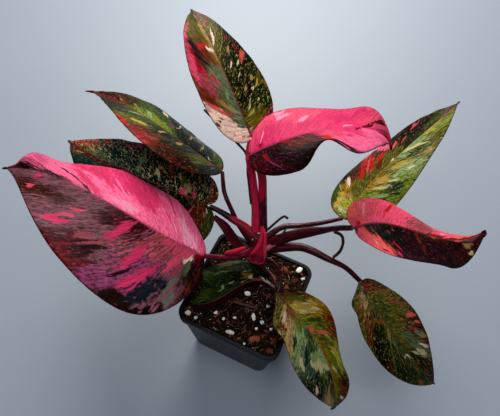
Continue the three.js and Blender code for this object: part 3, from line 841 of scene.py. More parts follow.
def unit(vectors):
    return vectors / np.linalg.norm(vectors, axis=-1, keepdims=True)


def turned_frames(centre):
    """Two directions square to the path at each of its points, turned as little as can be."""
    tangent = np.gradient(centre, axis=0)
    tangent /= np.linalg.norm(tangent, axis=1, keepdims=True)
    axis = np.eye(3)[np.argmin(np.abs(tangent[0]))]
    first = np.cross(tangent[0], np.cross(tangent[0], axis))
    first /= np.linalg.norm(first)
    normals = [first]
    for direction in tangent[1:]:
        normal = normals[-1] - direction * normals[-1].dot(direction)
        normals.append(normal / np.linalg.norm(normal))
    normals = np.array(normals)
    return normals, np.cross(tangent, normals)


def place_sheath(node, rings, coordinates, finish, hollow_shade=()):
    """Makes a sheath of its rings. coordinates are its "skin", as the stalks have it."""
    mesh = loft(rings)
    skin = [*coordinates, coordinates[0], coordinates[-1]]
    write_attribute(mesh, "skin", "FLOAT_VECTOR", "vector", skin)
    # Painted shade inside a hollow sheath, where there is any.
    if hollow_shade:
        write_attribute(mesh, "hollow_shade", "FLOAT", "value", [*hollow_shade, 1, 1])
    shell = bmesh.new()
    shell.from_mesh(mesh)
    bmesh.ops.recalc_face_normals(shell, faces=shell.faces)
    shell.to_mesh(mesh)
    shell.free()
    mesh.shade_smooth()
    settle(make_object(node, mesh, finish), node)


SHEATH_STEP = 0.5  # millimetres of skin from ring to ring


def round_end(ring, count, reach, depth):
    """The share of its width that a skin keeps at one ring, as its last few draw in to a round end."""
    return math.sqrt(1 - min(1, max(0, ring - count + reach) / depth) ** 2)


def sheath(node, path, radii, flat, finish, frill=0.0, steps=90, sides=48):
    """A flattened papery skin along a path, frilled along its sides."""
    centre = smooth_path(path, steps)
    radius = spread(radii, steps)
    normals, others = turned_frames(centre)
    rings = []
    coordinates = []
    for k in range(steps):
        size = radius[k] * round_end(k, steps, reach=9, depth=8.2)
        ring = []
        for i in range(sides):
            angle = math.tau * i / sides
            wave = math.sin(3 * angle + k * 0.2) * math.sin(k * 0.31 + i * 0.7)
            spoke = normals[k] * math.cos(angle) + others[k] * flat * math.sin(angle)
            ring.append(centre[k] + size * (1 + frill * wave) * spoke)
            coordinates.append((math.cos(angle), math.sin(angle), k * SHEATH_STEP))
        rings.append(ring)
    place_sheath(node, rings, coordinates, finish)


SLIPPER_STEP = 0.4
SLIPPER_WALL = 0.54  # thickness away from the rim
SLIPPER_FACES = np.array((0.18, -0.48, 0.86))  # the mouth opens up and to the front
SLIPPER_FLAT = 0.8
RIM_REACH = 0.3  # how far round the wall the rolled rim goes, in radians
RIM_SWELL = 0.14
RIM_EXTRA = 0.63  # how much thicker the wall is at the rim
NARROWEST = 0.15  # share of the outer width that always stays hollow
# Painted shade: the slipper's inside darkens towards the toe, where shade falls deep in the hollow.
TOE_SHADE_STARTS = 0.74  # the share of the length from which the inside darkens, and how soon it is dark
TOE_SHADE_FADE = 0.12


def slipper(node, path, radii, openings, finish, steps=110, sides=40):
    """A folded sheath like a slipper: an open trough with a rolled rim that ends in a round toe.
    openings are half the angle that the mouth leaves open, in degrees, evenly spaced along it."""
    centre = smooth_path(path, steps)
    radius = spread(radii, steps)
    opening = np.radians(spread(openings, steps))
    tangent = unit(np.gradient(centre, axis=0))
    facing = unit(SLIPPER_FACES - tangent * (tangent @ SLIPPER_FACES)[:, None])
    sideways = np.cross(tangent, facing)
    rings = []
    coordinates = []
    hollow_shade = []
    for k in range(steps):
        size = radius[k] * round_end(k, steps, reach=22, depth=21.5)
        # Painted shade deepens inside the hollow towards the toe; the rolled rim stays clear of it.
        shade = min(1, max(0, k / steps - TOE_SHADE_STARTS) / TOE_SHADE_FADE)
        edges = (opening[k], math.tau - opening[k])
        angles = np.linspace(*edges, sides)
        rim = sum(np.exp(-(((angles - edge) / RIM_REACH) ** 2)) for edge in edges)
        outer = size * (1 + RIM_SWELL * rim)
        inner = np.maximum(outer - SLIPPER_WALL - RIM_EXTRA * rim, NARROWEST * outer)
        ring = []
        for reach, turns, inside in ((outer, angles, 0), (inner[::-1], angles[::-1], 1)):
            for out, angle, lip in zip(reach, turns, rim):
                up = facing[k] * SLIPPER_FLAT * math.cos(angle)
                ring.append(centre[k] + out * (up + sideways[k] * math.sin(angle)))
                coordinates.append((math.cos(angle), math.sin(angle), k * SLIPPER_STEP))
                hollow_shade.append(inside * (1 - min(1, lip)) * shade)
        rings.append(ring)
    place_sheath(node, rings, coordinates, finish, hollow_shade)


slipper(
    "sheath_open_red", ((-5, 34, 145), (-1, 28, 140), (0, 21.5, 131), (-0.5, 17.5, 122), (-1, 15.5, 115.5)),
    (1.2, 2.6, 3.4, 4.4, 6, 6.2, 5), (4, 8, 14, 26, 54, 72, 80), hood_finish)
sheath("sheath_old_left", ((-44, 28, 140), (-35, 27, 134), (-27, 25, 126), (-18, 23, 118), (-6, 24, 108)),
       (2, 4.5, 4.5, 4, 3.5), 0.35, old_finish, frill=0.04)
sheath("sheath_flap_red", ((-22, 4, 138), (-17, 10, 134), (-11, 18, 131)),
       (1.8, 3.2, 2.2), 0.55, hood_finish, frill=0.08)
sheath("sheath_remnant", ((2, 28, 122), (6, 33, 124), (9, 34, 126)),
       (2.4, 2.6, 1.2), 0.9, torn_finish, frill=0.2)

# ---- aerial roots ------------------------------------------------------------------------------
# Wiry dark brown roots that grow from the leaf joints into the air, a little knotty and dull.

root_finish = skin_finish(
    "aerial_root_skin", (0.012, 0.006, 0.006), (0.05, 0.016, 0.014), (0.2, 0.13, 0.11), 0.55)
ROOTS = {
    "aerial_root_long": dict(
        path=(
            (-20, 46, 150), (-30, 60, 166), (-36, 69, 178), (-44, 72, 182),
            (-62, 79, 185), (-82, 88, 187)),
        radii=(1.1, 1, 1, 0.8)),
    "aerial_root_hook": dict(
        path=((-5, 40, 122), (-1, 44, 130), (5, 52, 138), (7, 53, 140), (10, 53, 139)),
        radii=(1.2, 1, 0.9, 1.1)),
    "aerial_root_loop": dict(
        path=((48, 51, 151), (54, 52, 148), (57, 50, 144), (58, 47, 136), (57, 45, 131), (55, 42, 128)),
        radii=(1.3, 1.2, 1.2)),
    "aerial_root_nub": dict(path=((10, 41, 130), (12, 46, 136)), radii=(1, 0.6)),
}
for node, root in ROOTS.items():
    settle(stalk(node, root["path"], root["radii"], root_finish, ridge=0.5, sides=16, step=0.5), node)

# ---- leaf blades -------------------------------------------------------------------------------
# Heart-shaped waxy blades, 0.7 mm thick, with a sunk midrib, fine side veins that sweep towards
# the margin, a faint quilting between them and a thread-like drip tip. The variegation runs along
# the veins: each blade has soft ground colours, sharp splashes over them and small flecks.

WIDEST_AT = 0.4  # the share of the outline's run at which it is widest
LOBE_REACH = 1.75  # how far back the notch's handle reaches, in lobe lengths
LOBE_ROUND = 0.8  # length of the handle that rounds the basal lobe
NOTCH_OPEN = 0.12  # how fast the notch opens
SHOULDER = 0.36  # length of the handle past the widest place
TIP_SLIM = 0.1  # half width of the handle before the tip
VEIN_CROWD = 2.4  # how much the side veins crowd towards the blade's base
VEIN_SWEEP = 0.55  # 1 is a straight vein, and less bends it more near the margin
BLADE_HALF_THICK = 0.35
MARGIN_THIN = 0.3  # share of the thickness that is left at the margin
MARGIN_REACH = 3  # distance in which it grows by the full thickness
GROOVE_DEPTH = 0.5  # of the midrib on the upper side
RIB_HEIGHT = 0.5  # of the midrib on the under side
RIB_HALF = 1.1  # half width of both
NECK_HEIGHT = 1.1  # how much higher and broader the midrib is where the stalk joins
NECK_BREADTH = 0.8
NECK_REACH = 14
QUILT_HEIGHT = 0.12
QUILT_MEAN = 0.64  # taken off, so that the quilting doesn't lift the blade
WAVE_HEIGHT = 0.9  # slow waves of the whole blade, ripples at the margin and small dents
RIPPLE_HEIGHT = 0.5
DENT_HEIGHT = 0.22
THREAD_LENGTH = 3  # the drip tip, where a leaf gives none of its own
THREAD_HALF = 0.45  # half the drip tip's thickness
DARK_TIP_AT = 0.972  # where the dark drip tip starts, and how soon it is fully dark
DARK_TIP_FADE = 0.015
OFF_RIB = 3  # moves the drip tip clear of the midrib's colour
VEIN_SPACING = 4.6
ROW_STEP = 0.8
COLUMN_STEP = 1.3

LEAF_COLOURS = {
    "hot pink": "f27a9e", "pale pink": "f8a6be", "shell pink": "fac0d0", "rose": "e6627e",
    "dusty rose": "a85860", "magenta": "dc4878", "crimson": "a81030", "scarlet": "d02c34",
    "coral": "e8706c", "blush": "ffdfcc", "cream": "dcd0a0", "straw": "c8b060", "tan": "b89868",
    "orange": "b06430", "rust": "7a3418", "gold": "967618", "lime": "a8a648", "lime green": "7c862a",
    "olive": "6a6628", "green": "4a5822", "deep green": "22330f", "black green": "10180c",
    "teal": "22403a", "sea green": "4a6454", "ash green": "7c8668", "pale green": "9aac78",
    "maroon": "4a1420", "wine": "6e1426", "dark maroon": "2e0e14", "brown": "4a2618",
    "dark brown": "2a1610", "mauve": "8e4a6c", "grey mauve": "7e565e", "lilac": "c890ac",
    "slate": "25303a", "grey": "7c7c74", "sage": "6c7a5a",
}
PLAIN_COLOURS = ("hot pink", "pale pink", "shell pink", "rose", "magenta", "blush", "coral", "scarlet")
PLAIN_MOTTLE = 0.4
FULL_MOTTLE = 0.95
TINT_DEPTH = 1.32  # deepens the colours, which the lights would wash out
TINT_SHARE = 0.8
PATCH_LENGTH = 0.09  # how far a ground colour spreads along the blade and across it
PATCH_WIDTH = 0.3
PATCH_CORE = 0.05


def tint(name):
    """A leaf colour as linear red, green and blue."""
    code = LEAF_COLOURS[name]
    shades = np.array([int(code[k:k + 2], 16) for k in (0, 2, 4)]) / 255
    linear = np.where(shades <= 0.04045, shades / 12.92, ((shades + 0.055) / 1.055) ** 2.4)
    return linear**TINT_DEPTH * TINT_SHARE


def ragged(x, y, seed):
    """Smooth random values from -1 to 1 over a plane, with lumps one unit across."""
    wide, high = 61, 67
    lattice = np.random.default_rng(seed).uniform(-1, 1, (wide, high))
    column, row = np.floor(x).astype(int), np.floor(y).astype(int)
    across, up = ((3 - 2 * f) * f * f for f in (x - column, y - row))

    def corner(i, j):
        return lattice[(column + i) % wide, (row + j) % high]

    below = corner(0, 0) * (1 - across) + corner(1, 0) * across
    above = corner(0, 1) * (1 - across) + corner(1, 1) * across
    return below * (1 - up) + above * up


def cubic(t, a, b, c, d):
    return (1 - t) ** 3 * a + 3 * (1 - t) ** 2 * t * b + 3 * (1 - t) * t * t * c + t**3 * d


def margin_at(leaf, s):
    """The blade's outline, s running from the notch to the tip, as shares of length and width."""
    lobe, widest = leaf["lobe"], leaf["widest"]
    base = np.clip(s / WIDEST_AT, 0, 1)
    tip = np.clip((s - WIDEST_AT) / (1 - WIDEST_AT), 0, 1)
    shoulder = widest + SHOULDER * (1 - widest)
    reach = np.where(
        s < WIDEST_AT,
        cubic(base, 0, -LOBE_REACH * lobe, widest - LOBE_ROUND * (widest + lobe), widest),
        cubic(tip, widest, shoulder, leaf["taper"], 1))
    width = np.where(s < WIDEST_AT, cubic(base, 0, NOTCH_OPEN, 1, 1), cubic(tip, 1, 1, TIP_SLIM, 0))
    return reach, width


def half_blade(leaf, s, v, side):
    """The middle surface of one half, v running along the veins from the midrib to the margin."""
    half = 0 if side > 0 else 1
    width = leaf["half_width"][half]
    margin_x, margin_y = margin_at(leaf, s)
    root = s**VEIN_CROWD
    x = root + (margin_x - root) * (VEIN_SWEEP * v + (1 - VEIN_SWEEP) * v * v)
    y = margin_y * v * width
    along = np.clip(x, 0, 1)[..., None]
    a, b, c, d = (np.array(point, float) for point in leaf["midrib"])
    centre = cubic(along, a, b, c, d) + 3 * (b - a) * np.minimum(x, 0)[..., None]
    left = 1 - along
    forward = unit(3 * left**2 * (b - a) + 6 * left * along * (c - b) + 3 * along**2 * (d - c))
    up = unit(np.array([0, 0, 1.0]) - forward * forward[..., 2:])
    sideways = np.cross(up, forward)
    along = along[..., 0]
    base, tip, middle = leaf["roll"]
    roll = np.radians(base + (tip - base) * along + middle * 4 * along * (1 - along))[..., None]
    normal = up * np.cos(roll) + sideways * np.sin(roll)
    across = sideways * np.cos(roll) - up * np.sin(roll)
    near, far = leaf["fold"][half]
    fold = np.radians(near + (far - near) * along)
    bend = np.radians(leaf["curl"][half]) / width
    out = (np.sin(fold + bend * y) - np.sin(fold)) / bend
    rise = (np.cos(fold) - np.cos(fold + bend * y)) / bend
    for ruffle_side, lift, spread_out, place, reach in leaf.get("ruffles", ()):
        if ruffle_side == side:
            share = v**3 * np.exp(-(((x - place) / reach) ** 2))
            rise = rise + lift * share
            out = out + spread_out * share
    return centre + across * (side * out)[..., None] + normal * rise[..., None]


def run_along(points, axis):
    steps = np.linalg.norm(np.diff(points, axis=axis), axis=-1)
    return np.insert(np.cumsum(steps, axis=axis), 0, 0, axis=axis)


def ground_colours(leaf, s, t, left):
    """Patches of colour round each of the blade's ground points, which stay on their own side of
    the midrib. The fourth value is the mottling, faint on the plain colours."""
    total = np.zeros((*s.shape, 4))
    weights = np.zeros(s.shape)
    for name, place_s, place_t in leaf["ground"]:
        far = ((s - place_s) / PATCH_LENGTH) ** 2 + ((t - place_t) / PATCH_WIDTH) ** 2
        weight = (left == (place_t > 0)) / (far + PATCH_CORE) ** 4
        mottle = PLAIN_MOTTLE if name in PLAIN_COLOURS else FULL_MOTTLE
        total += weight[..., None] * np.array((*tint(name), mottle))
        weights += weight
    return total / weights[..., None]


def splash_colours(leaf, s, t):
    """The colour of the nearest splash, and how deep inside it a point lies, 1 at its middle."""
    colours = np.zeros((*s.shape, 4))
    colours[..., 3] = -1
    for name, place_s, place_t, half_s, half_t, *lean in leaf["splashes"]:
        slant = lean[0] * (t - place_t) if lean else 0
        level = 1 - np.hypot((s - place_s - slant) / half_s, (t - place_t) / half_t)
        inside = level > colours[..., 3]
        colours[inside] = (*tint(name), 0)
        colours[..., 3] = np.where(inside, level, colours[..., 3])
    return colours


class BladeGrid:
    """A blade's middle surface, in rows from the notch to the tip and columns from the right margin
    to the left. rib is the midrib's column, and s and t are each point's place, as in ground. In
    millimetres, along is the way from the midrib down the vein, less than 0 on the right, across
    the way from the notch over the veins, and margin the way in from the margin."""

    def __init__(self, leaf):
        self.length = np.linalg.norm(np.diff(leaf["midrib"], axis=0), axis=1).sum()
        self.rows = int(self.length * 1.1 / ROW_STEP)
        columns = int(max(leaf["half_width"]) / COLUMN_STEP)
        self.rib = columns
        s = np.linspace(0, 1, self.rows + 2)[1:-1, None]
        v = np.linspace(0, 1, columns + 1)[None, :]
        self.middle = np.hstack([half_blade(leaf, s, v[:, :0:-1], -1), half_blade(leaf, s, v, 1)])
        self.t = np.hstack([-v[:, :0:-1], v]) + 0 * s
        self.s = s + 0 * self.t
        self.left = self.t > 0
        along = run_along(self.middle, 1)
        along -= along[:, columns:columns + 1]
        self.along = along
        self.margin = np.where(self.left, along[:, -1:] - along, along - along[:, :1])
        self.vein_length = np.where(self.left, along[:, -1:], -along[:, :1])
        half = columns // 2
        across = run_along(self.middle[:, half], 0) + run_along(self.middle[:, -half - 1], 0)
        self.across = across[:, None] / 2 + 0 * self.s
        slopes = np.gradient(self.middle, axis=0), np.gradient(self.middle, axis=1)
        self.normal = unit(np.cross(*slopes))

    def ragged(self, width, length, seed):
        """Random values with lumps of this width across the veins and this length along them."""
        return ragged(self.across / width, self.along / length, seed)

    def around(self, values):
        """Values over the grid, laid out as the rings and the two ends of the skin are."""
        rings = np.concatenate([values[:, ::-1], values], axis=1)
        ends = [values[:1, self.rib], values[-1:, self.rib]]
        return np.concatenate([rings.reshape(-1, *values.shape[2:]), *ends])


def blade_relief(grid, seed):
    """How far the middle surface rises: quilting between the veins, waves, ripples and dents."""
    share = np.abs(grid.along) / np.maximum(grid.vein_length, 0.1)
    wander = grid.ragged(9, 22, seed)
    quilt = np.abs(np.sin(np.pi * (grid.across / VEIN_SPACING + 0.3 * wander)))
    ripple = share**3 * np.clip(grid.vein_length / 15, 0, 1) * grid.ragged(11, 60, seed + 2)
    waves = WAVE_HEIGHT * share * grid.ragged(24, 28, seed + 1)
    waves += RIPPLE_HEIGHT * ripple + DENT_HEIGHT * grid.ragged(8, 12, seed + 3)
    full = np.clip(grid.vein_length / 25, 0, 1) * np.clip(np.abs(grid.along) / 6, 0, 1)
    return full * (QUILT_HEIGHT * (quilt - QUILT_MEAN) + waves)


def blade_sides(grid, middle):
    """The upper side, grooved along the midrib, and the under side, where the midrib stands out."""
    tapered = (1 - grid.s) ** 0.6
    thick = BLADE_HALF_THICK * np.clip(MARGIN_THIN + grid.margin / MARGIN_REACH, MARGIN_THIN, 1)
    groove = GROOVE_DEPTH * tapered * np.exp(-((grid.along / RIB_HALF) ** 2))
    neck = np.exp(-(grid.s**VEIN_CROWD) * grid.length / NECK_REACH)
    rib_half = RIB_HALF + NECK_BREADTH * neck
    rib = tapered * (RIB_HEIGHT + NECK_HEIGHT * neck) * np.exp(-((grid.along / rib_half) ** 2))
    top = middle + grid.normal * (thick - groove)[..., None]
    under = middle - grid.normal * (thick + rib)[..., None]
    return top, under


def draw_thread(leaf, grid, middle, top, under):
    """Draws the last rows of both sides out into the drip tip, and returns the thread's end."""
    before_tip, tip = (np.array(leaf["midrib"][k], float) for k in (2, 3))
    thread_length = leaf.get("thread", THREAD_LENGTH)
    thread = unit(tip - before_tip) * thread_length + np.array([0, 0, -1.0])
    last = max(2, grid.rows - int(thread_length / ROW_STEP))
    body = middle[last, grid.rib] - tip
    for k in range(last, grid.rows):
        share = (k - last) / (grid.rows - last)
        core = tip + body * (1 - share) ** 2 + thread * share
        breadth = middle[k, -1] - middle[k, 0]
        widening = grid.t[k, :, None] * THREAD_HALF * (1 - share) * unit(breadth)
        spine = core + middle[k] - middle[k, grid.rib] + widening
        thickness = grid.normal[k] * THREAD_HALF * (1.2 - share)
        top[k] = spine + thickness
        under[k] = spine - thickness
    return tip + thread * 1.1


def paint_blade(mesh, leaf, grid, seed):
    """Writes what the leaf skins read. The colours' borders wander, most of all along the veins."""
    jitter_s = 0.012 * grid.ragged(3, 14, seed + 4) + 0.008 * grid.ragged(7, 9, seed + 5)
    jitter_t = 0.1 * grid.ragged(2.4, 30, seed + 6) + 0.08 * grid.ragged(5, 7, seed + 7)
    jitter_t *= np.clip(np.abs(grid.along) / 4, 0, 1)
    moved_s = grid.s + jitter_s
    moved_t = grid.t + jitter_t
    strayed_s = moved_s + 0.06 * grid.ragged(7, 24, seed + 8)
    strayed_t = moved_t + 0.35 * grid.ragged(5, 30, seed + 9)
    ground = ground_colours(leaf, moved_s, moved_t, grid.left)
    stray = ground_colours(leaf, strayed_s, strayed_t, grid.left)
    tip_share = np.clip((grid.s - DARK_TIP_AT) / DARK_TIP_FADE, 0, 1)
    for layer in (ground, stray):
        layer[..., :3] += tip_share[..., None] * (tint("dark maroon") - layer[..., :3])
    splash = splash_colours(leaf, grid.s + 0.5 * jitter_s, grid.t + 0.5 * jitter_t)
    left, right = ((*tint(name), density) for name, density in leaf["flecks"])
    fleck = np.where(grid.left[..., None], left, right)
    sheet = np.stack([grid.across, grid.along + OFF_RIB * tip_share, grid.margin], axis=-1)
    write_attribute(mesh, "vein", "FLOAT_VECTOR", "vector", grid.around(sheet))
    for layer, colours in dict(ground=ground, stray=stray, splash=splash, fleck=fleck).items():
        write_attribute(mesh, layer, "FLOAT_COLOR", "color", grid.around(colours))
    facing = np.concatenate([np.ones_like(grid.t), np.zeros_like(grid.t)], axis=1).ravel()
    write_attribute(mesh, "upper", "FLOAT", "value", np.append(facing, [1, 1]))


def blade_mesh(leaf, seed):
    """A whole blade as one closed skin."""
    grid = BladeGrid(leaf)
    middle = grid.middle + grid.normal * blade_relief(grid, seed)[..., None]
    top, under = blade_sides(grid, middle)
    end = draw_thread(leaf, grid, middle, top, under)
    rings = list(np.concatenate([top[:, ::-1], under], axis=1))
    mesh = loft(rings, leaf["midrib"][0], end)
    paint_blade(mesh, leaf, grid, seed)
    mesh.shade_smooth()
    return mesh


def leaf_skin(name, gloss, rib_colour, seed):
    """Waxy leaf skin, painted from the blade's own colours."""
    finish = Finish(name, ior=1.1)
    vein = finish.attribute("vein", "Vector")
    across, along, margin = finish.split(vein)
    shifted = finish.node("ShaderNodeVectorMath", {"operation": "ADD"}, {0: vein, 1: (seed * 31.0, 0, 0)})

    def streaky(width, length, detail=3, rough=0.6):
        return finish.noise(finish.stretched(shifted, width, length, 1000), detail=detail, rough=rough)

    bands = streaky(2.8, 24)
    streaks = streaky(1.8, 8)
    threads = streaky(0.9, 8, detail=2)
    clouds = streaky(7, 16)
    grain = streaky(1.5, 3.4, rough=0.7)
    torn = streaky(1.3, 5.5, detail=4, rough=0.7)
    specks = streaky(2.1, 4.4, rough=0.65)
    blots = streaky(2.8, 8, rough=0.65)

    ground = finish.attribute("ground")
    mottle = finish.attribute("ground", "Alpha")
    strays = (streaks * 0.5 + bands * 0.5).step(0.5, 0.54)
    colour = finish.mix(ground, finish.attribute("stray"), strays)
    light = streaks.step(0.4, 0.6) * 0.65 + grain.step(0.42, 0.57) * 0.9 + bands.step(0.38, 0.6) * 0.3
    colour = finish.shaded(colour, 1 + (light - 0.82) * mottle)
    fleck = finish.attribute("fleck")
    density = finish.attribute("fleck", "Alpha")
    dust = (grain + density * 0.06).step(0.62, 0.66)
    colour = finish.mix(colour, finish.shaded(fleck, 1.1), dust * mottle * 0.6)
    splash = finish.attribute("splash")
    depth = finish.attribute("splash", "Alpha")
    inside = (depth + (torn - 0.5) * 3 + (threads - 0.5)).step(-0.12, 0.2)
    splashed = finish.shaded(splash, 0.2 + streaks * 0.8 + threads * 0.6)
    colour = finish.mix(colour, splashed, inside * 0.95)
    dots = (specks + density * 0.07).step(0.66, 0.69) * clouds.step(0.42, 0.55)
    dashes = (blots + density * 0.06).step(0.67, 0.7)
    colour = finish.mix(colour, fleck, dots * mottle * 0.9)
    colour = finish.mix(colour, fleck, dashes * mottle * 0.85)
    rib = along.magnitude().step(1.1, 0.3)
    colour = finish.mix(colour, rib_colour, rib * 0.7)
    edge = margin.step(0.9, 0.25)
    colour = finish.mix(colour, tuple(tint("wine") * 0.6), edge * 0.75)
    upper = finish.attribute("upper", "Fac")
    below = finish.mix(finish.shaded(colour, 0.55), (0.07, 0.018, 0.022), 0.55)
    colour = finish.mix(below, colour, upper)
    height = threads * 0.3 + streaks * 0.4 + grain * 0.3
    return finish.surface(
        base_color=colour,
        roughness=gloss + clouds * 0.16 + (1 - upper) * 0.15,
        normal=finish.relief(height, 0.3 * MM),
    )


